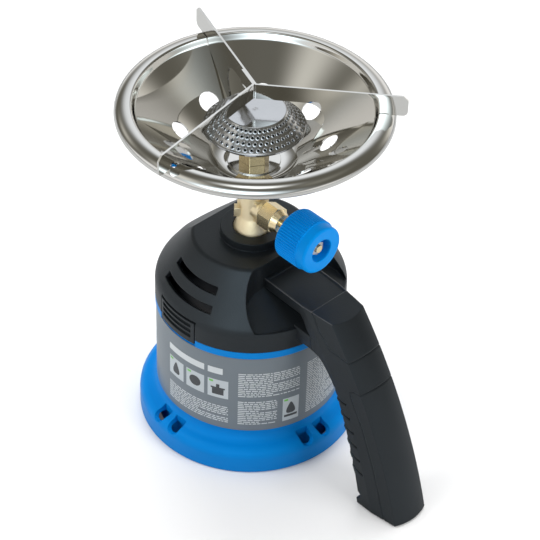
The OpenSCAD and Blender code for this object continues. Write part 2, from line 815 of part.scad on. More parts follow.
module knob() color("dodgerblue") along_knob(knob_x) difference() {
    union() {
        linear_extrude(knob_len - knob_rim_len) difference() {
            circle(knob_r);
            for (i = [1:knob_ribs]) rotate(i * 360 / knob_ribs)
                translate([knob_r + groove_r / 4, 0]) circle(groove_r, $fn = 16);
        }
        rotate_extrude() polygon(concat([[0, past], [knob_r - knob_in, past],
            [knob_r - knob_in, knob_len - knob_round]],
            arc([knob_r - knob_in - knob_round, knob_len - knob_round], knob_round, 0, 90, 6),
            [[0, knob_len]]));
    }
    translate([0, 0, knob_len - recess_depth]) cylinder(r = recess_r, h = recess_depth + past);
    translate([0, 0, -past]) cylinder(r = spindle_r, h = knob_len);
    translate([0, 0, -past])
        ring(spindle_r + knob_hub, knob_r - knob_shell, 0, knob_len - recess_depth - knob_face);
}

module knob_nut() color("silver") along_knob(knob_x + knob_len - recess_depth) difference() {
    hexagon(knob_nut_af, knob_nut_h);
    translate([0, 0, -past]) cylinder(r = spindle_r, h = knob_nut_h + 2 * past);
}

// Bowl: a pressed dish with a rolled brim, holes and slots for the blades

crest_mid = [crest_r, crest_z - crest_round];
bowl_line = concat(
    [[spigot_r + spigot_gap, bowl_floor]],
    arc([bowl_floor_r, bowl_floor + bowl_round], bowl_round, -90, wall_slope - 90, 8),
    arc(crest_mid, crest_round, 90 + wall_slope, 90, 5),
    [for (a = [15:15:90]) [crest_r + brim_w * sin(a), crest_z - brim_drop * (1 - cos(a))]],
    [[crest_r + brim_w, crest_z - brim_drop - brim_edge]]);

module bowl_hole() {
    z = bowl_floor + (hole_ring_r - wall_foot_r) * tan(wall_slope);
    translate([hole_ring_r, 0, z]) rotate([0, -wall_slope, 0])
        cylinder(r = hole_r, h = 3 * hole_r, center = true);
}

module windshield_bowl() color("silver") difference() {
    rotate([0, 0, start_turn]) rotate_extrude()
        polygon(concat(bowl_line, backwards(beside(bowl_line, sheet_t))));
    for (i = [0:hole_count - 1]) rotate([0, 0, hole_turn + i * 360 / hole_count]) bowl_hole();
    blade(blade_turn, blade_t + 2 * slot_gap);
    blade(blade_turn + 120, blade_t + 2 * slot_gap);
    short_shift() blade(blade_turn + 240, blade_t + 2 * slot_gap);
}

module bowl_washer() color("silver") ring(spigot_r + spigot_gap, washer_r, bowl_floor, stem_z);

// Brass stem: a tall hexagon that clamps the bowl and takes in air through side holes

module burner_stem() color("goldenrod") translate([0, 0, stem_z]) difference() {
    hexagon(stem_af, stem_h);
    translate([0, 0, -past]) cylinder(r = spigot_r, h = stem_h + 2 * past);
    for (i = [0:2]) translate([0, 0, air_hole_z]) rotate([0, 90, 60 * i + 30])
        cylinder(r = air_hole_r, h = 2 * stem_af, center = true);
}

module gas_jet() color("gold") translate([0, 0, stem_z + spigot_top]) difference() {
    union() {
        hexagon(jet_af, jet_hex_h);
        cylinder(r1 = jet_r[0], r2 = jet_r[1], h = jet_h);
    }
    translate([0, 0, -past]) cylinder(r = jet_bore, h = jet_h + 2 * past);
}

module mixing_tube() color("silver")
    ring(tube_r - tube_wall, tube_r, stem_z + stem_h, cone_z - cup_h);

module burner_cup() color("silver") rotate_extrude() {
    cup = [[tube_r - tube_wall, cone_z - cup_h + sheet_t], [tube_r + cup_flat, cone_z - cup_h + sheet_t],
        [burner_r - cup_lip[0], cone_z - rim_h], [burner_r - cup_lip[1], cone_z - rim_h]];
    polygon(concat(cup, backwards([for (p = cup) p - [0, sheet_t]])));
}

// Perforated cap: a cone with a thick rim, staggered rows of holes and a flat top

module burner_cap() color("silver") difference() {
    slope = atan2(cone_h, burner_r - disc_r);
    rotate_extrude() polygon([[burner_r - rim_t, cone_z - rim_h], [burner_r - rim_out, cone_z - rim_h],
        [burner_r + rim_out, cone_z], [burner_r, cone_z + rim_h], [disc_r, disc_z], [0, disc_z],
        [0, disc_z - sheet_t], [disc_r - sheet_t / 2, disc_z - sheet_t],
        [burner_r - rim_t, cone_z + rim_h / 2]]);
    for (row = [0:flame_rows - 1], i = [0:flame_holes - 1]) {
        along = (row + 0.75) / (flame_rows + 0.4);
        rotate([0, 0, (i + (row % 2) / 2) * 360 / flame_holes])
            translate([burner_r + (disc_r - burner_r) * along, 0, cone_z + cone_h * along])
                rotate([0, 90 - slope, 0]) cylinder(r = flame_r, h = 4 * sheet_t, center = true, $fn = 16);
    }
}

// Pot support: one strip bent into two blades, and a second blade with a lapped tab

module blade(angle, t) {
    rotate([0, 0, angle]) upright(t) polygon(concat(
        [[0, blade_top], [blade_r - corner, blade_top], [blade_r, blade_top - corner]],
        backwards(arc([blade_r - corner, blade_top - tip_h + corner], corner, -90, 0, 4)),
        [[crest_r + past, blade_top - tip_h], [blade_in_r + blade_toe, blade_foot], [blade_in_r, blade_foot]],
        arc([arch_x, blade_top - strip_h - arch_r], arch_r, -30, 90, 8),
        [[0, blade_top - strip_h]]));
}

// The second strip lies one sheet beside the first
module short_shift() {
    rotate([0, 0, blade_turn + 180]) translate([blade_t / sin(60), 0, 0])
        rotate([0, 0, -blade_turn - 180]) children();
}

module pot_support_long() color("silver") {
    blade(blade_turn, blade_t);
    blade(blade_turn + 120, blade_t);
    translate([0, 0, blade_top - strip_h]) cylinder(r = elbow_r, h = strip_h);
}

module pot_support_short() color("silver") {
    short_shift() blade(blade_turn + 240, blade_t);
    short_shift() translate([0, 0, blade_top - strip_h]) linear_extrude(strip_h) {
        circle(elbow_r);
        rotate(blade_turn + 120) translate([0, -blade_t / 2]) square([tab_len, blade_t]);
    }
}

base_tub();
label_sleeve();
gas_cartridge();
top_housing();
latch_left();
latch_right();
handle_frame();
handle_knee_cover();
handle_back_cover();
handle_screws();
valve_body();
valve_lock_nut();
cartridge_seal();
piercing_needle();
gland_nut();
spindle();
spindle_o_ring();
knob();
knob_nut();
windshield_bowl();
bowl_washer();
burner_stem();
gas_jet();
mixing_tube();
burner_cup();
burner_cap();
pot_support_long();
pot_support_short();
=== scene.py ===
# %% [markdown]
# # A camping gas stove
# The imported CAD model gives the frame: a tub with a cartridge, a clip-on head with a pistol
# grip, a cast valve with a knob, and a polished bowl with a burner and three blades. The CAD
# pieces whose plain faces are already right keep their meshes and get soft edges and finishes.
# The pieces that are curved or ribbed all over, such as the bowl, the burner cap, the knob and the
# handle, are worked out again here as smooth surfaces. Lengths on the stove are in millimetres.

import json

import bpy
import numpy as np
from mathutils import Matrix


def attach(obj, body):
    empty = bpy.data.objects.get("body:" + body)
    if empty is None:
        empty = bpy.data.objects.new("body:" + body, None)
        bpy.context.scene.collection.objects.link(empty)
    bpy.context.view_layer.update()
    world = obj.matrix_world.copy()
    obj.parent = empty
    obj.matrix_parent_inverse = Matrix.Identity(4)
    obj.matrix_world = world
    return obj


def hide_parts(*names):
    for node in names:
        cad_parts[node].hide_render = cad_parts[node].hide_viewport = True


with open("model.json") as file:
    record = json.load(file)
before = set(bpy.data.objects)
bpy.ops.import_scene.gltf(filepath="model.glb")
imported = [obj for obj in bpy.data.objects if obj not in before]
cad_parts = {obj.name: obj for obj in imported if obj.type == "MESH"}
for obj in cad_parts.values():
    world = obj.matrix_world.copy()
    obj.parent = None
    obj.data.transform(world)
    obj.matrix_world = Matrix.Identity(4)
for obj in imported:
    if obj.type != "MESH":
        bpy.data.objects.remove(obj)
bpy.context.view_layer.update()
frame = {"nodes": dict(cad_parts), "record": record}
nodes = frame["nodes"]
MM = 0.001
print("frame:", len(nodes), "CAD pieces")

# %% [markdown]
# ## Tools for grids
# Most pieces of the stove are turned or pressed, so each is a profile carried round an axis. The
# Screw modifier could do that, but a grid of points in an array can also carry ribs, holes and
# grooves. A profile is a line through a few corners with rounded bends, and one grid of quads
# follows it.

# %% Profiles and grids


def rounded_line(corners, radii, steps=8):
    """A line through the corners with arcs for bends. An arc of radius r starts r times the
    tangent of half the turn before its corner, and ends as far after it."""
    corners = np.asarray(corners, float)
    line = [corners[:1]]
    for before, here, after, r in zip(corners, corners[1:], corners[2:], radii):
        a = (here - before) / np.linalg.norm(here - before)
        b = (after - here) / np.linalg.norm(after - here)
        turn = np.arctan2(a[0] * b[1] - a[1] * b[0], a @ b)
        inward = np.sign(turn) * r * np.array([-a[1], a[0]])
        centre = here - a * r * np.tan(abs(turn) / 2) + inward
        swing = np.linspace(0, turn, steps + 1)
        arm = np.stack([np.cos(swing), -np.sin(swing), np.sin(swing), np.cos(swing)], -1)
        line.append(centre - arm.reshape(-1, 2, 2) @ inward)
    line.append(corners[-1:])
    return np.concatenate(line)


def spaced(line, step):
    """The same line with points at most a step apart: each piece is cut into equal parts."""
    length = np.linalg.norm(np.diff(line, axis=0), axis=1)
    parts = np.maximum(1, np.ceil(length / step)).astype(int)
    cuts = [a + (b - a) * np.arange(n)[:, None] / n for a, b, n in zip(line, line[1:], parts)]
    return np.concatenate(cuts + [line[-1:]])


def lathe(profile, columns):
    """A profile of (r, z) carried round the Z axis: x = r cos a, y = r sin a, z as drawn.
    Rows follow the profile and columns the angle a."""
    angle = np.arange(columns) * 2 * np.pi / columns
    r, z = profile[:, :1], profile[:, 1:]
    return np.stack([r * np.cos(angle), r * np.sin(angle), z + 0 * angle], -1)


def grid_faces(rows, columns):
    """Quads between neighbouring rows of a grid whose last column meets its first. They face
    up where the profile runs outwards."""
    low = np.arange(rows - 1)[:, None] * columns
    high = low + columns
    here = np.arange(columns)[None, :]
    there = (here + 1) % columns
    return np.stack([low + here, high + here, high + there, low + there], -1).reshape(-1, 4)


def smooth_step(low, high, value):
    """0 below low, 1 above high, with a smooth rise between them."""
    t = np.clip((value - low) / (high - low), 0, 1)
    return t * t * (3 - 2 * t)


def within(value, reach, soft):
    """0 beyond the reach, rising evenly to 1 over the soft stretch inside it."""
    return np.clip((reach - value) / soft, 0, 1)


print("grid tools:", len(grid_faces(3, 8)), "quads join 3 rows of 8 points")

# %% [markdown]
# ## From points to pieces
# Blender keeps a mesh as points and faces. A piece made here takes both from arrays, is parented
# to an empty for the body that carries it, and hides the CAD nodes that it replaces.

# %% Points to pieces
END_SHRINK = np.array([0.6, 0.2, 0.001])[:, None, None]


def capped(tube):
    """A tube of rings with closed ends: at each end, three smaller copies of the last ring shrink
    to its middle."""
    middle = tube[[0, -1]].mean(1, keepdims=True)
    start = middle[0] + (tube[0] - middle[0]) * END_SHRINK
    end = middle[1] + (tube[-1] - middle[1]) * END_SHRINK
    return np.concatenate([start[::-1], tube, end])


def joined(parts):
    """Several sets of points and faces as one: each set's faces are numbered on from the last."""
    shift = np.cumsum([0] + [len(p) for p, f in parts[:-1]])
    points = np.concatenate([p for p, f in parts])
    return points, np.concatenate([f + first for (p, f), first in zip(parts, shift)])


def add_piece(name, points, faces, body, *replaced):
    """Makes a smooth mesh of the points that the faces use. It rides on a CAD body."""
    used, faces = np.unique(faces, return_inverse=True)
    mesh = bpy.data.meshes.new(name)
    mesh.from_pydata((points.reshape(-1, 3)[used] * MM).tolist(), [], faces.reshape(-1, 4).tolist())
    mesh.shade_smooth()
    piece = bpy.data.objects.new(name, mesh)
    bpy.context.scene.collection.objects.link(piece)
    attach(piece, body)
    if replaced:
        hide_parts(*replaced)
    print(name, len(mesh.vertices), "points,", len(mesh.polygons), "faces")
    return piece


def store(piece, name, values):
    """Keeps one number for each point of a piece, for its finish to read."""
    layer = piece.data.attributes.new(name, "FLOAT", "POINT")
    layer.data.foreach_set("value", values.reshape(-1))


# %% [markdown]
# ## Soft edges on the CAD pieces
# Moulded and machined edges are never quite sharp, and the thin light on them tells the eye what
# it sees. A CAD mesh is loose triangles, which a bevel can't join. So a small geometry-node group
# first merges their corners and shades them smooth, except across real edges, and a Bevel modifier
# then rounds those edges. The mesh itself stays as the CAD made it.

# %% Merge, shade and bevel
EDGE_DEGREES = 28


def shading_group(name, degrees):
    """A geometry-node group that merges corners closer than 2 micrometres and shades smooth
    across every edge whose faces meet at less than the given angle."""
    group = bpy.data.node_groups.new(name, "GeometryNodeTree")
    group.interface.new_socket("Geometry", in_out="INPUT", socket_type="NodeSocketGeometry")
    group.interface.new_socket("Geometry", in_out="OUTPUT", socket_type="NodeSocketGeometry")
    start = group.nodes.new("NodeGroupInput")
    merge = group.nodes.new("GeometryNodeMergeByDistance")
    merge.inputs["Distance"].default_value = 0.002 * MM
    smooth = group.nodes.new("GeometryNodeSetShadeSmooth")
    angle = group.nodes.new("GeometryNodeInputMeshEdgeAngle")
    flat = group.nodes.new("FunctionNodeCompare")
    flat.operation = "LESS_THAN"
    flat.inputs["B"].default_value = np.radians(degrees)
    edges = group.nodes.new("GeometryNodeSetShadeSmooth")
    edges.domain = "EDGE"
    end = group.nodes.new("NodeGroupOutput")
    link = group.links.new
    link(start.outputs[0], merge.inputs["Geometry"])
    link(merge.outputs["Geometry"], smooth.inputs["Geometry"])
    link(smooth.outputs["Geometry"], edges.inputs["Geometry"])
    link(angle.outputs["Unsigned Angle"], flat.inputs["A"])
    link(flat.outputs["Result"], edges.inputs["Shade Smooth"])
    link(edges.outputs["Geometry"], end.inputs[0])
    return group


merge_and_shade = shading_group("merge and shade", EDGE_DEGREES)


def soften(piece, width):
    """Merges and shades a piece, and rounds its edges by a bevel of the given width, if any."""
    shade = piece.modifiers.new("merge and shade", "NODES")
    shade.node_group = merge_and_shade
    if width:
        bevel = piece.modifiers.new("soft edges", "BEVEL")
        bevel.width = width * MM
        bevel.segments = 3
        bevel.limit_method = "ANGLE"
        bevel.angle_limit = np.radians(EDGE_DEGREES)
        bevel.harden_normals = True
        bevel.use_clamp_overlap = True


edge_widths = {
    "base_tub": 0.5, "top_housing": 0.5, "latch_left": 0.2, "latch_right": 0.2, "valve_body": 0.5,
    "gland_nut": 0.35, "knob_nut": 0.2, "spindle": 0.15, "burner_stem": 0.3, "bowl_washer": 0.15,
    "pot_support_long": 0.2, "pot_support_short": 0.2, "burner_cup": 0.2, "gas_cartridge": 0,
    "valve_lock_nut": 0.3, "cartridge_seal": 0.2, "piercing_needle": 0, "spindle_o_ring": 0,
    "gas_jet": 0.15, "mixing_tube": 0.15,
}
for name, width in edge_widths.items():
    soften(nodes[name], width)
print("softened:", len(edge_widths), "CAD pieces")

# %% [markdown]
# ## The bowl
# The windshield is pressed from thin polished sheet: a flat floor, a straight sloping wall, a
# steep lip, a round crest and a brim that rolls down. A spun curve with a Boolean for each hole
# could make it, but a polished dish shows every facet and every ragged cut. So it is one dense
# revolved surface, with its rows closest together where the air holes are.

# %% Bowl's profile
FLOOR_Z = 157.8
STEM_HOLE_R = 4.8
WALL_FOOT_R = 18.5
WALL_TOP_R = 57.0
LIP_R = 58.6
CREST = (61.0, 191.6)
BRIM = (67.0, 187.0)
ROLL_R = 1.5
DISH_BENDS = [12.9, 3.0, 1.6]
WALL_SLOPE = np.arctan2(33.8, 42.5)
FINE_FROM = 30.0


def wall_z(r):
    """Height of the straight wall: it rises from its foot with the wall's slope."""
    return FLOOR_Z + (r - WALL_FOOT_R) * np.tan(WALL_SLOPE)


dish_corners = [(STEM_HOLE_R, FLOOR_Z), (WALL_FOOT_R, FLOOR_Z), (WALL_TOP_R, wall_z(WALL_TOP_R)),
                (LIP_R, CREST[1]), CREST]
brim_turn = np.radians(np.arange(10, 91, 10))
brim_line = np.stack([CREST[0] + (BRIM[0] - CREST[0]) * np.sin(brim_turn),
                      CREST[1] - (CREST[1] - BRIM[1]) * (1 - np.cos(brim_turn))], 1)
roll_turn = np.radians(np.arange(15, 151, 15))
roll_line = np.stack([BRIM[0] - ROLL_R + ROLL_R * np.cos(roll_turn),
                      BRIM[1] - ROLL_R * np.sin(roll_turn)], 1)
bowl_line = np.concatenate([rounded_line(dish_corners, DISH_BENDS), brim_line, roll_line])
fine_r = np.linspace(FINE_FROM + 0.2, 41.0, 38)
fine_line = np.stack([fine_r, wall_z(fine_r)], 1)
split = np.argmax(bowl_line[:, 0] > FINE_FROM)
bowl_line = np.concatenate([spaced(bowl_line[:split], 2.0), fine_line,
                            spaced(bowl_line[split:], 1.6)])
print("bowl profile:", len(bowl_line), "points")

# %% [markdown]
# ### Air holes and slots
# Eight round holes in the wall let air in, and each blade of the pot support stands in a slot of
# the lip. A hole in a grid is a patch of faces left out. So that its edge is smooth, the points
# inside the hole are first pushed out onto its circle, and those inside a slot to its sides.

# %% Air holes and slots
BOWL_COLUMNS = 576
HOLE_RING_R = 35.5
HOLE_R = 5.3
HOLE_ANGLES = np.radians(130.6 + 45 * np.arange(8))
BLADE_ANGLES = np.radians([40.4, 160.4, 280.4])
BLADE_FOOT = (28.1, 170.5)
BLADE_RISE = 0.6047
BLADE_STEP_Z = 191.0
SLOT_FROM_R = 50
SLOT_HALF = 0.85
SAME_SIDE = 0.5


def turned(angle, centre):
    """An angle measured from a centre, between minus half a turn and half a turn."""
    return (angle - centre + np.pi) % (2 * np.pi) - np.pi


bowl_shape = (len(bowl_line), BOWL_COLUMNS)
bowl_angle = np.broadcast_to(np.arange(BOWL_COLUMNS) * 2 * np.pi / BOWL_COLUMNS, bowl_shape)
bowl_r = np.broadcast_to(bowl_line[:, :1], bowl_shape)
bowl_z = np.broadcast_to(bowl_line[:, 1:], bowl_shape)
cut = np.zeros(bowl_shape, bool)
for centre in HOLE_ANGLES:
    aside = turned(bowl_angle, centre)
    away = np.hypot(bowl_r * np.sin(aside), (bowl_r - HOLE_RING_R) / np.cos(WALL_SLOPE))
    inside = (away < HOLE_R) & (np.abs(aside) < SAME_SIDE)
    grow = np.where(inside, HOLE_R / np.maximum(away, 1e-6), 1.0)
    bowl_angle = np.where(inside, centre + aside * grow, bowl_angle)
    bowl_r = np.where(inside, HOLE_RING_R + (bowl_r - HOLE_RING_R) * grow, bowl_r)
    bowl_z = np.where(inside, wall_z(bowl_r), bowl_z)
    cut |= inside
for centre in BLADE_ANGLES:
    aside = turned(bowl_angle, centre)
    sideways = bowl_r * np.sin(aside)
    blade_z = np.minimum(BLADE_FOOT[1] + (bowl_r - BLADE_FOOT[0]) * BLADE_RISE, BLADE_STEP_Z)
    inside = (np.abs(sideways) < SLOT_HALF) & (np.abs(aside) < SAME_SIDE)
    inside &= (bowl_z > blade_z) & (bowl_r > SLOT_FROM_R)
    slot_edge = centre + np.where(sideways < 0, -1, 1) * SLOT_HALF / bowl_r
    bowl_angle = np.where(inside, slot_edge, bowl_angle)
    cut |= inside
print("bowl:", cut.sum(), "points lie in holes and slots")

# %% [markdown]
# ### The bowl's sheet
# The surface so far has no thickness. A Solidify modifier gives it the sheet's, downwards, which
# also closes the edges of the holes.

# %% Bowl's sheet
SHEET = 0.8
bowl_faces = grid_faces(*bowl_shape)
bowl_faces = bowl_faces[~cut.reshape(-1)[bowl_faces].all(1)]
bowl_points = np.stack([bowl_r * np.cos(bowl_angle), bowl_r * np.sin(bowl_angle), bowl_z], -1)
bowl = add_piece("polished_bowl", bowl_points, bowl_faces, "stove", "windshield_bowl")
sheet = bowl.modifiers.new("sheet", "SOLIDIFY")
sheet.thickness = SHEET * MM
sheet.offset = -1
soften(bowl, 0)

# %% [markdown]
# ## The burner cap
# The cap is a steel cone with a flat top and a thick rim. It is turned from a profile, with rows
# close enough together on the cone to carry its small holes, and far apart on the flat top.

# %% Cap's profile
RIM_Z = 178.6
CAP_R = 24.6
DISC_R = 14.8
DISC_Z = 187.6
FLAME_HOLES = 46
cap_columns = FLAME_HOLES * 18
cap_corners = [(22.9, RIM_Z - 0.6), (CAP_R + 0.2, RIM_Z - 0.6), (CAP_R + 0.2, RIM_Z + 0.35),
               (CAP_R - 0.5, RIM_Z + 0.75), (DISC_R, DISC_Z), (0.02, DISC_Z)]
cap_line = spaced(rounded_line(cap_corners, [0.45, 0.4, 0.3, 0.8], 6), 0.17)
on_disc = cap_line[:, 0] <= DISC_R - 0.6
cap_line = np.concatenate([cap_line[~on_disc], cap_line[on_disc][::12], cap_line[-1:]])[::-1]
cap = lathe(cap_line, cap_columns)
print("cap profile:", len(cap_line), "points")

# %% [markdown]
# ### Flame holes
# The gas burns at four staggered rows of holes, each pushed through from below, which leaves a
# raised rim. Nearly two hundred Booleans would be slow and ragged. So every point is moved along
# the cone's normal by a rise: a bell curve in a ring round each hole, and a deep dip inside it. The
# dip is also kept as an attribute, for the finish to paint black as the shade inside the holes.

# %% Flame holes
FLAME_R = 0.6
FLAME_DEPTH = 1.5
FLAME_RIM = 0.24
FLAME_ROWS = 4
cone_run = np.array([DISC_R - CAP_R, DISC_Z - RIM_Z])
cone_len = np.linalg.norm(cone_run)
cone_dir = cone_run / cone_len
cone_out = np.array([cone_dir[1], -cone_dir[0]])
up_cone = ((cap_line - [CAP_R, RIM_Z]) @ cone_dir)[:, None]
on_cone = ((cap_line[:, 0] > DISC_R + 0.2) & (cap_line[:, 1] > RIM_Z + 0.6))[:, None]
cap_angle = np.arange(cap_columns) * 2 * np.pi / cap_columns
hole_step = 2 * np.pi / FLAME_HOLES
rise = np.zeros(cap.shape[:2])
hole = np.zeros(cap.shape[:2])
for row in range(FLAME_ROWS):
    share = (row + 0.75) / 4.4
    aside = (cap_angle - row % 2 * hole_step / 2 + hole_step / 2) % hole_step - hole_step / 2
    away = np.hypot(aside * (CAP_R + (DISC_R - CAP_R) * share), up_cone - cone_len * share)
    dip = within(away, FLAME_R + 0.02, 0.12)
    rise += FLAME_RIM * np.exp(-((away - FLAME_R - 0.14) / 0.2) ** 2) - FLAME_DEPTH * dip
    hole = np.maximum(hole, dip)
rise *= on_cone
cap[..., 0] += rise * cone_out[0] * np.cos(cap_angle)
cap[..., 1] += rise * cone_out[0] * np.sin(cap_angle)
cap[..., 2] += rise * cone_out[1]
cap_faces = grid_faces(len(cap_line), cap_columns)[:, ::-1]
burner_cap = add_piece("perforated_cap", cap, cap_faces, "stove", "burner_cap")
# The hole attribute marks where the finish paints shade inside the flame holes.
store(burner_cap, "hole", hole * on_cone)

# %% [markdown]
# ## The knob
# The knob is moulded: a barrel with fine ribs for the fingers, a smooth rim and a recess for the
# nut. An array of rib meshes would leave seams where they meet the barrel. So one profile is
# turned about the knob's axis, and the ribs are a power of a cosine taken off its radius along the
# barrel.

# %% Knob
KNOB_X = 29.0
KNOB_Z = 130.0
KNOB_RIBS = 60
KNOB_RIB_DEPTH = 0.5
knob_corners = [(2.05, 0.0), (4.6, 0.0), (4.6, 10.4), (10.9, 10.4), (10.9, 0.0), (12.9, 0.0),
                (13.25, 1.0), (13.25, 13.6), (12.5, 14.0), (12.5, 19.4), (6.1, 19.2), (6.1, 13.45),
                (2.05, 13.45)]
knob_bends = [0.3, 0.5, 0.8, 0.3, 0.5, 0.8, 0.3, 0.3, 1.3, 0.5, 0.4]
knob_line = spaced(rounded_line(knob_corners, knob_bends, 7), 0.6)
knob_r, knob_x = knob_line[:, :1], knob_line[:, 1:]
knob_columns = KNOB_RIBS * 14
knob_turn = np.arange(knob_columns) * 2 * np.pi / knob_columns
ribbed = np.clip((knob_r - 12.3) / 0.5, 0, 1) * np.clip(knob_x / 0.5, 0, 1)
ribbed = ribbed * within(knob_x, 13.9, 0.5)
valley = (0.5 + 0.5 * np.cos(KNOB_RIBS * knob_turn)) ** 2.2
knob_r = knob_r - KNOB_RIB_DEPTH * ribbed * valley
knob_points = np.stack([KNOB_X + knob_x + 0 * knob_turn, knob_r * np.sin(knob_turn),
                        KNOB_Z - knob_r * np.cos(knob_turn)], -1)
knob_faces = grid_faces(len(knob_line), knob_columns)
knob = add_piece("ribbed_knob", knob_points, knob_faces, "control_knob", "knob")

# %% [markdown]
# ## The handle
# The moulded handle runs out from the head as a flat bridge, bends at a knee and comes down as a
# grip. It could be shaped by hand with loop cuts and subdivision, but its lines are plain arcs. So
# it is one closed surface worked out from them: rows run from the head over the knee to the heel,
# and each row is a ring across the top, down one side, over the inner face and up the other side.
# First come the arcs, seen from the side in X and Z: the outer face lies on one big circle and is
# a little round across, and the sides close in towards it.

# %% Handle's arcs
GRIP_CENTRE = np.array([-145.2, -68.5])
GRIP_R = 274.7
FACE_R = 26.0
HEEL_Z = 1.0
WIDE = 12.75
NARROW = 10.75
TAPER = 13.8
BRIDGE_TOP = 104.6
BRIDGE_FALL = 0.043
KNEE_GUESS = np.radians(38.2)


def bridge_z(x):
    """Height of the bridge's flat top, which falls a little towards the knee."""
    return BRIDGE_TOP - BRIDGE_FALL * x


def face_radius(y):
    """Radius of the outer face from the grip's centre. It falls off to the sides on a circle."""
    return GRIP_R - FACE_R + np.sqrt(FACE_R ** 2 - y ** 2)


def half_width(x, z):
    """Half the handle's width: full out to a radius about the grip's centre, then closing in evenly
    to the edge of the outer face."""
    edge_r = face_radius(NARROW)
    share = (np.hypot(x - GRIP_CENTRE[0], z - GRIP_CENTRE[1]) - edge_r + TAPER) / TAPER
    return WIDE - (WIDE - NARROW) * np.clip(share, 0, 1)


def knee_angle(y):
    """Angle at which the outer face meets the bridge's top, found by a few substitutions."""
    angle = KNEE_GUESS + 0 * y
    for _ in range(12):
        x = GRIP_CENTRE[0] + face_radius(y) * np.cos(angle)
        angle = np.arcsin((bridge_z(x) - GRIP_CENTRE[1]) / face_radius(y))
    return angle


def heel_angle(r):
    """Angle at which a circle about the grip's centre comes down to the heel."""
    return np.arcsin((HEEL_Z - GRIP_CENTRE[1]) / r)


knee_x = GRIP_CENTRE[0] + GRIP_R * np.cos(knee_angle(np.array(0.0)))
print("handle: knee at", round(float(knee_x), 1))

# %% [markdown]
# ### Rows over the knee
# The first rows lie along the bridge and the others go round the grip's arc. A function gives the
# points of the top and of the outer face for any distance from the middle, so that the sharp knee
# falls between two rows all the way across.

# %% Rows over the knee
ROOT_X = 21.5
BRIDGE_ROWS = 134
ARC_ROWS = 312
row_count = BRIDGE_ROWS + ARC_ROWS
bridge_x = np.linspace(ROOT_X, knee_x, BRIDGE_ROWS)
arc_angle = np.linspace(knee_angle(np.array(NARROW)), heel_angle(GRIP_R), ARC_ROWS)
row_x = np.concatenate([bridge_x, np.full(ARC_ROWS, knee_x)])[:, None]
row_angle = np.concatenate([np.full(BRIDGE_ROWS, np.pi / 2), arc_angle])[:, None]
on_bridge = (np.arange(row_count) < BRIDGE_ROWS)[:, None]


def outer_face(y):
    """Points of the top and the outer face for each row at the distance y from the middle: on the
    flat bridge up to the knee, then on the round face down to the heel."""
    r = face_radius(y)
    knee = knee_angle(y)
    angle = np.clip(row_angle, heel_angle(r), knee)
    x = np.minimum(row_x, GRIP_CENTRE[0] + r * np.cos(knee))
    x = np.where(on_bridge, x, GRIP_CENTRE[0] + r * np.cos(angle))
    return x, np.where(on_bridge, bridge_z(x), GRIP_CENTRE[1] + r * np.sin(angle))


print("handle:", row_count, "rows")

# %% [markdown]
# ### The inner line
# Inside, the handle follows the fingers: under the bridge, down a web to the strut, round into the
# palm's arc with six low ribs, and past a notch to the heel. Each corner of that line is given the
# row that reaches it, chosen so that rows cross the sides without bunching.

# %% Inner line
BRIDGE_T = 5.2
PALM_CENTRE = np.array([-188.4, -58.2])
PALM_R = 290.0
RIB_TURNS = np.radians(np.linspace(25.1, 17.1, 6))
RIB_HEIGHT = 1.1
NOTCH_R = 2.1
NOTCH = (93.6, 6.6)
TOE = 1.7
TOE_Z = 4.7
palm_turn = np.radians(np.linspace(25.4, 11.78, 260))
palm = PALM_CENTRE + PALM_R * np.stack([np.cos(palm_turn), np.sin(palm_turn)], 1)
past_rib = (RIB_TURNS[0] - palm_turn) / (RIB_TURNS[0] - RIB_TURNS[1])
rib_rise = RIB_HEIGHT * np.minimum(past_rib % 1 / 0.2, (1 - past_rib % 1) / 0.8)
palm[:, 0] -= np.where((past_rib > 0) & (past_rib < len(RIB_TURNS)), rib_rise, 0)
notch = np.sqrt(np.maximum(0, NOTCH_R ** 2 - (palm[:, 1] - NOTCH[1]) ** 2))
palm[:, 0] = np.where(notch > 0, np.maximum(palm[:, 0], NOTCH[0] + notch), palm[:, 0])
palm[:, 0] -= TOE * within(palm[:, 1], TOE_Z, 0.4)
web = [(ROOT_X, bridge_z(ROOT_X) - BRIDGE_T), (48.2, bridge_z(48.2) - BRIDGE_T), (50.6, 94.5),
       (53.2, 89.7), (55.9, 87.0), (56.0, 79.6), (58.5, 79.3), (61.2, 78.6), (63.4, 77.4),
       (65.3, 75.9), (67.4, 73.8), (69.4, 71.4), (71.2, 69.3)]
web_rows = [0, 78, 92, 106, 128, 138, 146, 152, 157, 162, 168, 174, 181]
palm_rows = np.linspace(188, row_count - 1, len(palm))
inner_line = np.concatenate([web, palm])
inner_rows = np.concatenate([web_rows, palm_rows])
inner_x = np.interp(np.arange(row_count), inner_rows, inner_line[:, 0])[:, None]
inner_z = np.interp(np.arange(row_count), inner_rows, inner_line[:, 1])[:, None]
print("inner line:", len(inner_line), "points")

# %% [markdown]
# ### Tray and bands
# The bridge's top is a shallow tray with a narrow rim, and two bands cross the outer face where
# one cover ends and the next begins. Both are places where the points of the top are let down by a
# smooth step. A few more columns lie at the rim, where the step is steep.

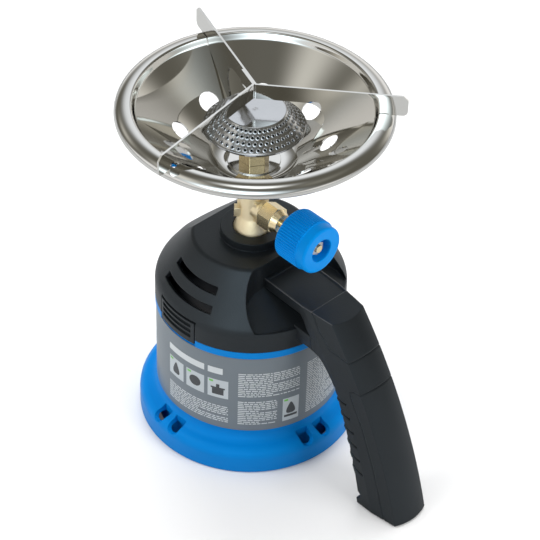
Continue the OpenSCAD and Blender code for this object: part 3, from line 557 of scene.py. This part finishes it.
# %% Tray and bands
TRAY_DEPTH = 0.55
TRAY_FROM = 24.4
TRAY_TO = 54.6
TRAY_STEP = 0.4
BAND_DEPTH = 0.45
BAND_ANGLES = np.radians([34.2, 30.6])
rim_columns = np.array([0.905, 0.92, 0.935, 0.95])
across = np.unique(np.concatenate([np.linspace(-1, 1, 33), rim_columns, -rim_columns]))
edge_x, edge_z = outer_face(np.full((1, 1), NARROW))
edge_w = half_width(edge_x, edge_z)
top_y = across * edge_w
top_x, top_z = outer_face(np.clip(top_y, -NARROW, NARROW))
tray = smooth_step(0.75, 1.05, edge_w - np.abs(top_y)) * on_bridge
tray = tray * smooth_step(TRAY_FROM, TRAY_FROM + TRAY_STEP, top_x)
tray = tray * smooth_step(-TRAY_TO, -TRAY_TO + TRAY_STEP, -top_x)
from_band = np.abs(row_angle - BAND_ANGLES).min(1, keepdims=True) * GRIP_R
sunk = BAND_DEPTH * within(from_band, 0.42, 0.3)
top_x = top_x - sunk * np.cos(row_angle)
top_z = top_z - sunk * np.sin(row_angle) * ~on_bridge - TRAY_DEPTH * tray
print("top of the handle:", top_x.size, "points")

# %% [markdown]
# ### Sides
# The sides show the seams of the two covers and a curved groove below each finger rib. A seam is
# a line through a few places, and a rib's groove is part of a circle. A point is pushed in by its
# distance from them, so no cut or extra edge is needed.

# %% Sides
SEAM_DEPTH = 0.5
RIB_CUT = 1.4
RIB_CUT_R = 7.5
RIB_CUT_CENTRE = np.array([6.4, 2.2])
KNEE_SEAM = [(55.4, 102.0), (60.6, 94.1), (68.4, 86.3), (80.4, 84.4)]
BACK_SEAM = [(89.6, 69.9), (84.6, 69.7), (83.1, 68.4), (83.7, 65.6), (92.5, 50.8), (101.2, 31.1),
             (106.8, 15.2), (111.5, 0.5)]


def line_distance(x, z, line):
    """Distance of points from a line through the given places: the least distance to any piece of
    it, whose nearest place is clamped to the piece's ends."""
    best = np.full(np.shape(x), np.inf)
    for (ax, az), (bx, bz) in zip(line, line[1:]):
        share = ((x - ax) * (bx - ax) + (z - az) * (bz - az)) / ((bx - ax) ** 2 + (bz - az) ** 2)
        share = np.clip(share, 0, 1)
        best = np.minimum(best, np.hypot(x - ax - share * (bx - ax), z - az - share * (bz - az)))
    return best


down = np.linspace(0, 1, 64)
side_x = edge_x + (inner_x - edge_x) * down
side_z = edge_z + (inner_z - edge_z) * down
from_seam = np.minimum(line_distance(side_x, side_z, KNEE_SEAM),
                       line_distance(side_x, side_z, BACK_SEAM))
groove = SEAM_DEPTH * within(from_seam, 0.378, 0.28)
for rib in RIB_TURNS:
    middle = PALM_CENTRE + PALM_R * np.array([np.cos(rib), np.sin(rib)]) + RIB_CUT_CENTRE
    turn = np.degrees(np.arctan2(side_z - middle[1], side_x - middle[0])) % 360
    from_arc = np.abs(np.hypot(side_x - middle[0], side_z - middle[1]) - RIB_CUT_R)
    rib_groove = RIB_CUT * within(from_arc, 0.75, 0.5) * ((turn > 185) & (turn < 278))
    groove = np.maximum(groove, rib_groove)
side_y = half_width(side_x, side_z) - groove
print("sides of the handle: grooves up to", round(float(groove.max()), 2), "deep")

# %% [markdown]
# ### Strut and finished handle
# A short strut ties the web to the head below the bridge. A Boolean union could join them, but one
# mesh may hold two closed tubes. So the strut is a box with rounded edges in the same mesh, and its
# outer end lies inside the web.

# %% Strut and handle
STRUT_X = np.array([42.0, 58.5])
STRUT_Z = (79.3, 87.2)
STRUT_ROUND = 0.6
STRUT_IN = 0.02
inner_y = np.linspace(1, -1, 14)[1:-1] * half_width(inner_x, inner_z)
handle_ring = np.concatenate([
    np.stack([top_x, top_y, top_z], -1),
    np.stack([side_x, side_y, side_z], -1)[:, 1:],
    np.stack([inner_x + 0 * inner_y, inner_y, inner_z + 0 * inner_y], -1),
    np.stack([side_x, -side_y, side_z], -1)[:, :0:-1]], 1)
corner = np.radians(np.arange(0, 91, 30))
strut_y = WIDE - STRUT_IN + STRUT_ROUND * (np.concatenate([np.sin(corner), np.cos(corner)]) - 1)
strut_z = np.concatenate([STRUT_Z[1] + STRUT_ROUND * (np.cos(corner) - 1),
                          STRUT_Z[0] - STRUT_ROUND * (np.sin(corner) - 1)])
strut_yz = np.stack([np.concatenate([strut_y, -strut_y[::-1]]),
                     np.concatenate([strut_z, strut_z[::-1]])], -1)
strut_ring = np.concatenate([np.broadcast_to(STRUT_X[:, None, None], (2, len(strut_yz), 1)),
                             np.broadcast_to(strut_yz, (2, *strut_yz.shape))], -1)
tubes = [capped(handle_ring), capped(strut_ring)]
tube_sets = [(tube.reshape(-1, 3), grid_faces(*tube.shape[:2])) for tube in tubes]
handle = add_piece("moulded_handle", *joined(tube_sets), "stove",
                   "handle_frame", "handle_knee_cover", "handle_back_cover")
soften(handle, 0)

# %% [markdown]
# ### Painted rim highlights
# The light that catches the rims of the tray is painted on as a paler colour. An attribute keeps
# where, for the finish to read: 1 along the bridge's two edges, and less on the row where the tray
# ends. The rows that close the tube come first, so the bridge's rows start after them.

# %% Painted rim highlights
TRAY_END_HIGHLIGHT = 0.8
rim = np.zeros(tubes[0].shape[:2])
bridge_rim = rim[len(END_SHRINK):len(END_SHRINK) + BRIDGE_ROWS, :len(across)]
# Painted highlight: a lighter colour along the bridge's edges and, a little less, at the tray's end.
bridge_rim[:] = TRAY_END_HIGHLIGHT * (np.abs(bridge_x - TRAY_TO) < 0.2)[:, None]
bridge_rim[:, [0, -1]] = 1
store(handle, "rim", np.concatenate([rim.reshape(-1), np.zeros(tubes[1][..., 0].size)]))
print("painted rim highlights:", np.count_nonzero(rim), "points")

# %% [markdown]
# ### Screws in the bridge
# Two screws hold the bridge from inside the head. They are hidden, so each is plain: a head and a
# shank, turned about a line along X.

# %% Screws in the bridge
SCREW_X = 18.0
SCREW_Y = 6.0
SCREW_Z = 100.6
SCREW_COLUMNS = 24
screw_corners = [(0.02, 0.0), (3.0, 0.0), (3.0, 2.4), (1.5, 2.4), (1.5, 15.4), (0.02, 15.4)]
screw_line = rounded_line(screw_corners, [0.5, 0.2, 0.1, 0.3], 3)
screw = lathe(screw_line, SCREW_COLUMNS)[..., [2, 0, 1]].reshape(-1, 3)
screw_faces = grid_faces(len(screw_line), SCREW_COLUMNS)[:, ::-1]
screw_sets = [(screw + [SCREW_X, side * SCREW_Y, SCREW_Z], screw_faces) for side in (-1, 1)]
screws = add_piece("bridge_screws", *joined(screw_sets), "stove", "handle_screws")
soften(screws, 0)

# %% [markdown]
# ## The printed sleeve
# A sleeve of grey film goes round the tub. It is a plain cylinder with turned-in edges. Its print
# could be an image texture, but a mesh of thin quads just above the film stays sharp from close by
# and needs no file.

# %% Sleeve
SLEEVE_R = 48.06
SLEEVE_IN_R = 47.8
SLEEVE_Z = (21.65, 70.55)
SLEEVE_COLUMNS = 360
sleeve_line = np.stack([[SLEEVE_IN_R, SLEEVE_R, SLEEVE_R, SLEEVE_IN_R], np.repeat(SLEEVE_Z, 2)], 1)
sleeve_points = lathe(sleeve_line, SLEEVE_COLUMNS)
sleeve_faces = grid_faces(len(sleeve_line), SLEEVE_COLUMNS)[:, ::-1]
sleeve = add_piece("film_sleeve", sleeve_points, sleeve_faces, "stove", "label_sleeve")
soften(sleeve, 0)

# %% [markdown]
# ### Lines of print
# At this size a line of text is only a row of short bars, so that is what is made: words are bars
# of random length, in blocks with a short last line to each paragraph. A place on the flat sheet is
# wrapped on the sleeve, with u round it from the handle's side and v up it.

# %% Lines of print
PRINT_R = SLEEVE_R + 0.02
WORD_GAP = 0.55
PARAGRAPH = 6
rng = np.random.default_rng(7)


def on_sleeve(u, v, lift):
    """A flat place (u, v) wrapped on the sleeve: the angle is u over the print's radius."""
    angle = u / PRINT_R
    r = PRINT_R + lift
    return np.stack([r * np.cos(angle), r * np.sin(angle), v + 0 * u], -1)


def bars(left, right, low, high, lift=0.0, part=1.2):
    """Quads of rectangles wrapped on the sleeve, each cut along its length into equal parts so
    that it follows the curve."""
    left, right, low, high = (np.asarray(a, float).reshape(-1) for a in (left, right, low, high))
    pieces = max(1, int(np.ceil((right - left).max() / part)))
    u = left[:, None] + (right - left)[:, None] * np.arange(pieces + 1) / pieces
    bottom = on_sleeve(u, low[:, None], lift)
    top = on_sleeve(u, high[:, None], lift)
    points = np.stack([bottom, top], 2).reshape(-1, 3)
    first = (np.arange(len(left))[:, None] * (pieces + 1) + np.arange(pieces)).reshape(-1) * 2
    return points, np.stack([first, first + 2, first + 3, first + 1], -1)


def text_block(left, right, top, lines, pitch=1.25, height=0.62):
    """Word-sized bars in rows: word lengths are drawn at random until a row is full, and the last
    row of each paragraph is short."""
    words = rng.uniform(0.9, 3.6, (lines, 60))
    starts = left + np.cumsum(words + WORD_GAP, 1) - words[:, :1]
    starts = np.concatenate([np.full((lines, 1), left), starts[:, :-1]], 1)
    last = np.arange(lines) % PARAGRAPH == PARAGRAPH - 1
    row_end = np.where(last, left + (right - left) * 0.55, right)[:, None]
    ends = np.minimum(starts + words, row_end)
    keep = ends - starts > 0.3
    base = top - pitch * np.arange(lines)[:, None] + 0 * starts
    return bars(starts[keep], ends[keep], (base - height)[keep], base[keep])


text_blocks = [(-42, -10, 60.5, 13), (-42, -22, 41.5, 13), (-84, -47, 36.5, 9), (40, 75, 60, 24),
               (80, 118, 60, 24), (-5.5, 20, 60.5, 28)]
heading_bars = [bars(-84, -60, 58, 62), bars(-58, -50, 58, 62)]
word_bars = [text_block(*block) for block in text_blocks]
white_print = add_piece("white_print", *joined(word_bars + heading_bars), "stove")

# %% [markdown]
# ### Panels and signs
# Pale panels carry plain signs: a drop, a disc, a pan and a flame. A sign is a stack of thin bars,
# and one array gives half its width from the foot up, so a formula draws its outline. A small
# green tag marks the corner of each panel.

# %% Panels and signs
SIGN_LIFT = 0.03
panels = [(-19, -10, 25.5, 41), (-84, -73, 42, 54), (-71, -60, 42, 54), (-58, -47, 42, 54)]
pale_panels = add_piece("pale_panels", *bars(*np.transpose(panels)), "stove")


def sign(u, low, high, half):
    """A sign of thin bars laid on each other between two heights: the array gives half the width
    of each bar, from the foot up."""
    levels = np.linspace(low, high, len(half) + 1)
    return bars(u - half, u + half, levels[:-1], levels[1:], SIGN_LIFT)


def drop_half(share):
    """Half the width of a drop: the root of a sine that is widest low down, drawn in to its tip."""
    return 2.9 * np.sqrt(np.sin(np.pi * share ** 0.6)) * (1 - 0.5 * share)


up_sign = np.linspace(0, 1, 40)
drop = drop_half(up_sign)
disc = 3.4 * np.sqrt(1 - (2 * up_sign - 1) ** 2) + 0.02
pan = np.where(up_sign < 0.55, 3.1, np.where(up_sign < 0.7, 3.8, 0.9))
flame = np.where(up_sign < 0.14, 3.6, drop_half(np.clip((up_sign - 0.22) / 0.78, 0, 1)) + 0.02)
signs = [sign(-78.5, 44, 52, drop), sign(-65.5, 44.6, 51.4, disc), sign(-52.5, 44, 51, pan),
         sign(-14.5, 28, 38, flame)]
dark_signs = add_piece("dark_signs", *joined(signs), "stove")
tag_left = np.array([-83.2, -70.2, -57.2, -18.3])
tag_low = np.array([52, 52, 52, 39])
tags = bars(tag_left, tag_left + 2.2, tag_low, tag_low + 1.3, SIGN_LIFT)
green_tags = add_piece("green_tags", *tags, "stove")

# %% [markdown]
# ## Shared node groups
# No real surface is even: moulded and cast pieces have a fine grain, and handling makes their
# gloss wander. Every finish needs both, so each is a node group that is built once and placed with
# its own values. A group reads the Object coordinates, so the pattern stays on its piece.

# %% Shared groups


def shader_group(name, inputs, output):
    """A shader node group with named float inputs and one float output."""
    group = bpy.data.node_groups.new(name, "ShaderNodeTree")
    for label, value in inputs.items():
        socket = group.interface.new_socket(label, in_out="INPUT", socket_type="NodeSocketFloat")
        socket.default_value = value
    group.interface.new_socket(output, in_out="OUTPUT", socket_type="NodeSocketFloat")
    start = group.nodes.new("NodeGroupInput")
    end = group.nodes.new("NodeGroupOutput")
    return group, start.outputs, end.inputs


def feed(tree, socket, value):
    """Gives an input a number, a colour or the output of another node."""
    if isinstance(value, tuple):
        socket.default_value = (*value, 1)
    elif isinstance(value, (int, float)):
        socket.default_value = value
    else:
        tree.links.new(value, socket)


def feed_all(tree, sockets, values):
    """Feeds several inputs by their names."""
    for name, value in values.items():
        feed(tree, sockets[name], value)


def maths(tree, operation, a, b):
    """A Math node. Each of a and b is a number or an output of another node."""
    node = tree.nodes.new("ShaderNodeMath")
    node.operation = operation
    feed(tree, node.inputs[0], a)
    feed(tree, node.inputs[1], b)
    return node.outputs[0]


def noise(tree, scale, detail=2.0, rough=0.5):
    """Noise over the Object coordinates. Scale is a number or an output."""
    place = tree.nodes.new("ShaderNodeTexCoord")
    node = tree.nodes.new("ShaderNodeTexNoise")
    feed_all(tree, node.inputs, {"Vector": place.outputs["Object"], "Scale": scale,
                                 "Detail": detail, "Roughness": rough})
    return node.outputs[0]


# Height = noise at the grain's size plus half as much at a third of that size
grain, grain_in, grain_out = shader_group("fine grain", {"Scale": 1500.0}, "Height")
fine = noise(grain, maths(grain, "MULTIPLY", grain_in["Scale"], 3.0))
coarse = noise(grain, grain_in["Scale"])
grain_height = maths(grain, "ADD", coarse, maths(grain, "MULTIPLY", fine, 0.5))
grain.links.new(grain_height, grain_out["Height"])

# Roughness = Base plus Spread times the noise about its middle
gloss_values = {"Base": 0.4, "Spread": 0.1, "Scale": 40.0}
gloss, gloss_in, gloss_out = shader_group("patchy gloss", gloss_values, "Roughness")
patches = maths(gloss, "SUBTRACT", noise(gloss, gloss_in["Scale"], 4.0, 0.6), 0.5)
wander = maths(gloss, "MULTIPLY", patches, gloss_in["Spread"])
gloss.links.new(maths(gloss, "ADD", gloss_in["Base"], wander), gloss_out["Roughness"])
print("groups:", grain.name, "and", gloss.name)

# %% [markdown]
# ## One finish
# Plastic, metal and ink differ only in a few values of the same nodes. So one function builds a
# Principled material and the groups round it: two colours that blend in soft blotches, the patchy
# gloss, and a bump from the grain. A Bevel node rounds the shading at edges that are too fine to
# model.

# %% One finish
# Grey of the painted highlight on the handle's rims, and near black of the painted shade inside the
# burner's holes.
PAINTED_RIM_HIGHLIGHT = 0.11
PAINTED_HOLE_SHADE = 0.004


def colour_mix(tree, factor, first, second):
    """A colour between two others, by a factor from 0 to 1."""
    mix = tree.nodes.new("ShaderNodeMix")
    mix.data_type = "RGBA"
    feed_all(tree, mix.inputs, {"Factor": factor, "A": first, "B": second})
    return mix.outputs["Result"]


def attribute(tree, name):
    """Outputs of a node that reads what a mesh keeps on its points under a name."""
    node = tree.nodes.new("ShaderNodeAttribute")
    node.attribute_name = name
    return node.outputs


def group_node(tree, group, **values):
    """A node group placed in a material with its own values."""
    node = tree.nodes.new("ShaderNodeGroup")
    node.node_tree = group
    feed_all(tree, node.inputs, values)
    return node.outputs[0]


def finish_of(name, colour, second, metallic=0.0, roughness=0.4, spread=0.1, patch=40.0,
              grain_scale=1500.0, depth=0.0, edge=0.0, blotch=60.0, shine=0.5, dark_where=None,
              pale_where=None, tint=(1.0, 1.0, 1.0)):
    """A Principled material. The colour wanders towards the second colour in soft blotches, the
    roughness comes from the patchy gloss, and the grain's height feeds a bump of the given depth
    in millimetres. Edge is the radius over which the shading rounds sharp edges. Where the mesh
    has the attribute named by dark_where, the colour fades to black by its value, as painted shade
    in holes. The one named by pale_where lightens it in the same way, as a painted highlight on the
    handle's rims. Tint colours the shine."""
    material = bpy.data.materials.new(name)
    material.use_nodes = True
    tree = material.node_tree
    base = colour_mix(tree, noise(tree, blotch, 4.0, 0.6), colour, second)
    for where, shade in ((pale_where, PAINTED_RIM_HIGHLIGHT), (dark_where, PAINTED_HOLE_SHADE)):
        if where:
            base = colour_mix(tree, attribute(tree, where)["Fac"], base, (shade, shade, shade))
    patchy = group_node(tree, gloss, Base=roughness, Spread=spread, Scale=patch)
    bump = tree.nodes.new("ShaderNodeBump")
    feed_all(tree, bump.inputs, {"Strength": 1.0 if depth else 0.0, "Distance": depth * MM,
                                 "Height": group_node(tree, grain, Scale=grain_scale)})
    if edge:
        bevel = tree.nodes.new("ShaderNodeBevel")
        bevel.samples = 6
        feed(tree, bevel.inputs["Radius"], edge * MM)
        feed(tree, bump.inputs["Normal"], bevel.outputs["Normal"])
    feed_all(tree, tree.nodes["Principled BSDF"].inputs, {
        "Metallic": metallic, "Specular IOR Level": shine, "Specular Tint": tint, "Base Color": base,
        "Roughness": patchy, "Normal": bump.outputs["Normal"]})
    return material


# %% [markdown]
# ## Plastics and rubber
# The tub and the knob are satin blue plastic, and the head and the handle are black with a moulded
# grain. Plastic mirrors white light over its own colour, which would wash a deep blue out, so its
# shine is low and tinted towards the blue. The seals are dull black rubber.

# %% Plastics and rubber
BLUE_SHINE = (0.3, 0.75, 1.0)
blue_plastic = finish_of("satin blue plastic", (0.0, 0.195, 0.60), (0.0, 0.215, 0.64),
                         roughness=0.34, spread=0.12, depth=0.012, edge=0.5, shine=0.22,
                         tint=BLUE_SHINE)
blue_knob_plastic = finish_of("bright blue plastic", (0.0, 0.25, 0.74), (0.0, 0.28, 0.80),
                              roughness=0.36, depth=0.008, shine=0.16, tint=BLUE_SHINE)
# Its rims get a painted highlight, lightened by the handle's rim attribute.
black_plastic = finish_of("black moulded plastic", (0.0075, 0.009, 0.0105), (0.010, 0.012, 0.014),
                          roughness=0.40, spread=0.14, depth=0.045, grain_scale=1300.0, edge=0.7,
                          shine=0.42, pale_where="rim", tint=(0.84, 0.94, 1.0))
black_rubber = finish_of("black rubber", (0.012, 0.012, 0.012), (0.02, 0.02, 0.02), roughness=0.6,
                         depth=0.02)
print("plastics and rubber:", len(bpy.data.materials), "materials so far")

# %% [markdown]
# ## Metals
# The bowl and the blades are polished until they mirror the room, the burner is duller with painted
# shade inside its holes, the valve is rough from its mould, and the nuts are turned bright. A metal
# has no colour of its own apart from its mirror's tint, so roughness and grain tell them apart. The
# cartridge is painted near black as shade, for the dark inside the tub that shows through the vents,
# so it is finished like a paint.

# %% Metals
chrome = finish_of("polished steel", (0.69, 0.675, 0.64), (0.72, 0.71, 0.68), metallic=1.0,
                   roughness=0.045, spread=0.05, patch=25.0)
# Its flame holes get painted shade: the colour fades to near black by the hole attribute.
burner_steel = finish_of("burner steel", (0.52, 0.53, 0.54), (0.60, 0.60, 0.61), metallic=1.0,
                         roughness=0.13, spread=0.1, depth=0.003, dark_where="hole")
plain_steel = finish_of("plain steel", (0.62, 0.62, 0.62), (0.52, 0.52, 0.53), metallic=1.0,
                        roughness=0.25, spread=0.12, depth=0.006)
cast_brass = finish_of("cast brass", (0.93, 0.76, 0.47), (1.0, 0.88, 0.62), metallic=1.0,
                       roughness=0.44, spread=0.2, patch=300.0, grain_scale=900.0, depth=0.09,
                       edge=0.8)
turned_brass = finish_of("turned brass", (0.93, 0.75, 0.43), (1.0, 0.84, 0.54), metallic=1.0,
                         roughness=0.26, spread=0.1, depth=0.006, edge=0.3)
# Painted shade: the cartridge is near black and stands for the dark inside the tub seen through its
# vents.
painted_shade = finish_of("cartridge lacquer", (0.016, 0.018, 0.022), (0.02, 0.022, 0.027), roughness=0.4,
                    depth=0.005)
print("with metals:", len(bpy.data.materials), "materials")

# %% [markdown]
# ## Film and inks
# The sleeve's film is grey with a soft gloss. Its inks lie on it as thin layers with about the
# same gloss, so they differ mainly in colour.

# %% Film and inks
INK_GLOSS = 0.32
grey_film = finish_of("grey film", (0.15, 0.18, 0.205), (0.165, 0.195, 0.22), roughness=0.3)
white_ink = finish_of("white ink", (0.62, 0.66, 0.68), (0.55, 0.59, 0.61), roughness=INK_GLOSS)
pale_ink = finish_of("pale ink", (0.52, 0.57, 0.60), (0.45, 0.5, 0.53), roughness=INK_GLOSS,
                     blotch=120.0)
dark_ink = finish_of("dark ink", (0.045, 0.05, 0.055), (0.06, 0.065, 0.07), roughness=INK_GLOSS)
green_ink = finish_of("green ink", (0.16, 0.50, 0.09), (0.2, 0.56, 0.12), roughness=INK_GLOSS)
print("with inks:", len(bpy.data.materials), "materials")

# %% [markdown]
# ## Finishes on pieces
# The record names a material slot for each CAD piece, so one table from slot to finish paints them
# all. A piece made here has no slot and is painted from its own list. The burner's cup is heated
# with its cap and gets the same steel.

# %% Finishes on pieces
finish_by_slot = {
    "blue_plastic": blue_plastic, "blue_knob": blue_knob_plastic, "printed_film": grey_film,
    "cartridge_steel": painted_shade, "black_plastic": black_plastic, "steel": plain_steel,
    "cast_brass": cast_brass, "turned_brass": turned_brass, "rubber": black_rubber,
    "chrome": chrome,
}
new_pieces = [
    (bowl, chrome, "chrome"), (burner_cap, burner_steel, "steel"),
    (knob, blue_knob_plastic, "blue_knob"), (handle, black_plastic, "black_plastic"),
    (screws, plain_steel, "steel"),
    (sleeve, grey_film, "printed_film"), (white_print, white_ink, "printed_film"),
    (pale_panels, pale_ink, "printed_film"), (dark_signs, dark_ink, "printed_film"),
    (green_tags, green_ink, "printed_film"),
]


def paint(piece, material):
    """Gives a piece one material."""
    piece.data.materials.clear()
    piece.data.materials.append(material)


for part in frame["record"]["subparts"]:
    paint(nodes[part["node"]], finish_by_slot[part["material_slot"]])
for piece, material, slot in new_pieces:
    paint(piece, material)
paint(nodes["burner_cup"], burner_steel)
print("finishes:", len(bpy.data.materials))

# %% [markdown]
# ## Table and sky
# The stove stands on a white table under soft light. A white table would also shine back from
# every glossy side and wash the colours out. A Light Path node tells what kind of ray looks at the
# table, so it is white to the camera and greyer in reflections. In the same way the sky is white to
# the eye and in mirrors, but gives the stove less light than that.

# %% Table and sky


def stage_mesh(name, points, faces):
    """A plain mesh that isn't part of the object, in metres."""
    mesh = bpy.data.meshes.new(name)
    mesh.from_pydata(np.asarray(points, float).tolist(), [], faces)
    thing = bpy.data.objects.new(name, mesh)
    bpy.context.scene.collection.objects.link(thing)
    return thing


table_finish = bpy.data.materials.new("white table")
table_finish.use_nodes = True
tree = table_finish.node_tree
seen = tree.nodes.new("ShaderNodeLightPath").outputs
table_colour = colour_mix(tree, seen["Is Glossy Ray"], (0.82, 0.82, 0.82), (0.50, 0.51, 0.52))
table_glow = maths(tree, "MULTIPLY", seen["Is Camera Ray"], 0.06)
feed_all(tree, tree.nodes["Principled BSDF"].inputs, {
    "Base Color": table_colour, "Roughness": 0.9, "Specular IOR Level": 0.1,
    "Emission Color": (1, 1, 1), "Emission Strength": table_glow})
table = stage_mesh("table", [(-4, -4, 0), (4, -4, 0), (4, 4, 0), (-4, 4, 0)], [(0, 1, 2, 3)])
table.data.materials.append(table_finish)

world = bpy.data.worlds.new("studio")
bpy.context.scene.world = world
world.use_nodes = True
tree = world.node_tree
seen = tree.nodes.new("ShaderNodeLightPath").outputs
looked_at = maths(tree, "MAXIMUM", seen["Is Camera Ray"], seen["Is Glossy Ray"])
looked_at = maths(tree, "MAXIMUM", looked_at, seen["Is Transmission Ray"])
sky_strength = maths(tree, "ADD", 0.45, maths(tree, "MULTIPLY", looked_at, 0.55))
feed_all(tree, tree.nodes["Background"].inputs, {"Color": (1, 1, 1), "Strength": sky_strength})
print("stage:", table.name, "and", world.name)

# %% [markdown]
# ## The painted ceiling
# Polished metal looks dark or bright only by what it mirrors. In a studio that is a dark room with
# a few bright screens. Here a dome that only glossy rays can see stands for the room. It is dim,
# with soft bright patches, each a bell curve over the angles away from its middle, and it is clear
# low down where the white sky should be mirrored. Both values are kept on the dome's points.

# %% Painted ceiling
CAMERA_TURN = np.radians(46)
DOME_ROWS = 46
DOME_COLUMNS = 96
DOME_R = 3.0
DIM = np.array([0.13, 0.124, 0.103])
VERY_WIDE = 400


def from_camera(turn, height, distance):
    """A place given by its angle round the stove from the camera's side, to the right, its height
    angle and its distance in metres."""
    a = np.radians(turn) - np.pi / 2 + CAMERA_TURN
    e = np.radians(height)
    return np.array([np.cos(a) * np.cos(e), np.sin(a) * np.cos(e), np.sin(e)]) * distance


dome_turn, dome_height = np.meshgrid(np.arange(DOME_COLUMNS) * 360 / DOME_COLUMNS,
                                     np.linspace(-2, 89.9, DOME_ROWS))
dome = np.moveaxis(from_camera(dome_turn, dome_height, DOME_R), 0, -1)


def patch_at(turn, height, wide, tall):
    """A soft patch on the dome: a bell curve over the angles away from its middle, in degrees."""
    aside = (dome_turn - turn + 180) % 360 - 180
    return np.exp(-(aside / wide) ** 2 - ((dome_height - height) / tall) ** 2)


front = (-14, 33, 30, 15)
bright_patches = [
    ((180, 42, 24, 11), (0.95, 1.0, 1.08)), ((-72, 50, 24, 16), (0.75, 0.74, 0.70)),
    ((132, 16, 15, 14), (0.75, 0.73, 0.68)), ((-123, 29, 13, 10), (0.45, 0.44, 0.41)),
    ((75, 60, 30, 12), (0.12, 0.12, 0.11)), ((0, 90, VERY_WIDE, 9), (2.6, 2.7, 2.8)),
    (front, (3.2, 3.7, 4.1)),
]
dome_light = DIM + 0 * dome
for patch, colour in bright_patches:
    dome_light = dome_light + patch_at(*patch)[..., None] * colour
dark_sides = patch_at(100, 0, 40, VERY_WIDE) + patch_at(-128, 0, 34, VERY_WIDE)
dark_sides = dark_sides + 0.9 * patch_at(0, 0, 38, VERY_WIDE)
in_front = smooth_step(0.1, 0.4, patch_at(*front))
cover = np.maximum(smooth_step(20, 42, dome_height + 34 * dark_sides), in_front)
ceiling = stage_mesh("ceiling", dome.reshape(-1, 3), grid_faces(DOME_ROWS, DOME_COLUMNS).tolist())
ceiling.data.shade_smooth()
store(ceiling, "cover", cover)
light_layer = ceiling.data.attributes.new("light", "FLOAT_VECTOR", "POINT")
light_layer.data.foreach_set("vector", dome_light.reshape(-1))
print("ceiling:", len(bright_patches), "bright patches")

# %% [markdown]
# ### The ceiling's material
# The dome glows with the light kept on its points, and a Mix Shader makes it clear where its cover
# is 0. It is hidden from the camera and from diffuse light, so it lights nothing by itself.

# %% Ceiling's material
ceiling_finish = bpy.data.materials.new("painted ceiling")
ceiling_finish.use_nodes = True
tree = ceiling_finish.node_tree
tree.nodes.clear()
glow = tree.nodes.new("ShaderNodeEmission")
clear = tree.nodes.new("ShaderNodeBsdfTransparent")
blend = tree.nodes.new("ShaderNodeMixShader")
surface = tree.nodes.new("ShaderNodeOutputMaterial")
feed(tree, glow.inputs["Color"], attribute(tree, "light")["Vector"])
feed(tree, blend.inputs["Fac"], attribute(tree, "cover")["Fac"])
feed(tree, blend.inputs[1], clear.outputs[0])
feed(tree, blend.inputs[2], glow.outputs[0])
feed(tree, surface.inputs["Surface"], blend.outputs[0])
ceiling.data.materials.append(ceiling_finish)
for rays in ("camera", "diffuse", "shadow", "transmission"):
    setattr(ceiling, "visible_" + rays, False)
print("ceiling's material:", len(tree.nodes), "nodes")

# %% [markdown]
# ## Lamps
# Three wide area lamps give soft light from the left, from the right and from high up behind. They
# would show as hard squares in the polished bowl, so glossy rays don't see them: the ceiling takes
# that part.

# %% Lamps
LAMP_AIM = np.array([0, 0, 0.1])


def placed(columns):
    """Blender's matrix for an object from three axes and a place, as columns."""
    return Matrix(np.vstack([columns, [0, 0, 0, 1]]).tolist())


def lamp(name, turn, height, distance, size, power):
    """A square area lamp that points at the middle of the stove. Its own Z axis points back from
    the aim, and its X axis is level."""
    light = bpy.data.lights.new(name, "AREA")
    light.size = size
    light.energy = power
    thing = bpy.data.objects.new(name, light)
    back = from_camera(turn, height, 1.0)
    side = np.cross([0, 0, 1], back)
    side = side / np.linalg.norm(side)
    place = back * distance + LAMP_AIM
    thing.matrix_world = placed(np.column_stack([side, np.cross(back, side), back, place]))
    thing.visible_glossy = False
    bpy.context.scene.collection.objects.link(thing)


lamp("key", -75, 42, 1.5, 0.9, 11)
lamp("fill", 60, 35, 1.6, 0.8, 12)
lamp("top", 180, 65, 1.6, 1.0, 19)
print("lamps:", len(bpy.data.lights))

# %% [markdown]
# ## Camera
# The camera looks down at the stove from the side of the handle and the knob, from about a metre
# away and with a long lens, so lines that run away from it draw together only a little. It is first
# set up facing along Y, with a small pan and roll, and then turned round the stove's axis.

# %% Camera
FOCAL = 143.22
ELEVATION = 0.70651
ROLL = 0.0244826
PAN = 0.0087098
DISTANCE = 1081.05
AIM_Z = 87.706
forward = np.array([0, np.cos(ELEVATION), -np.sin(ELEVATION)])
right = np.array([1.0, 0, 0])
up = np.cross(right, forward)
place = np.array([0, 0, AIM_Z]) - DISTANCE * forward
view = forward * np.cos(PAN) + right * np.sin(PAN)
level = right * np.cos(PAN) - forward * np.sin(PAN)
axes = np.column_stack([np.cos(ROLL) * level + np.sin(ROLL) * up,
                        np.cos(ROLL) * up - np.sin(ROLL) * level, -view, place * MM])
axes = np.array(Matrix.Rotation(CAMERA_TURN, 3, "Z")) @ axes
camera = bpy.data.objects.new("camera", bpy.data.cameras.new("camera"))
camera.data.lens = FOCAL
camera.data.sensor_width = 36
camera.matrix_world = placed(axes)
bpy.context.scene.collection.objects.link(camera)
bpy.context.scene.camera = camera
bpy.context.scene.view_settings.view_transform = "Standard"
print("camera: lens", FOCAL, "mm")
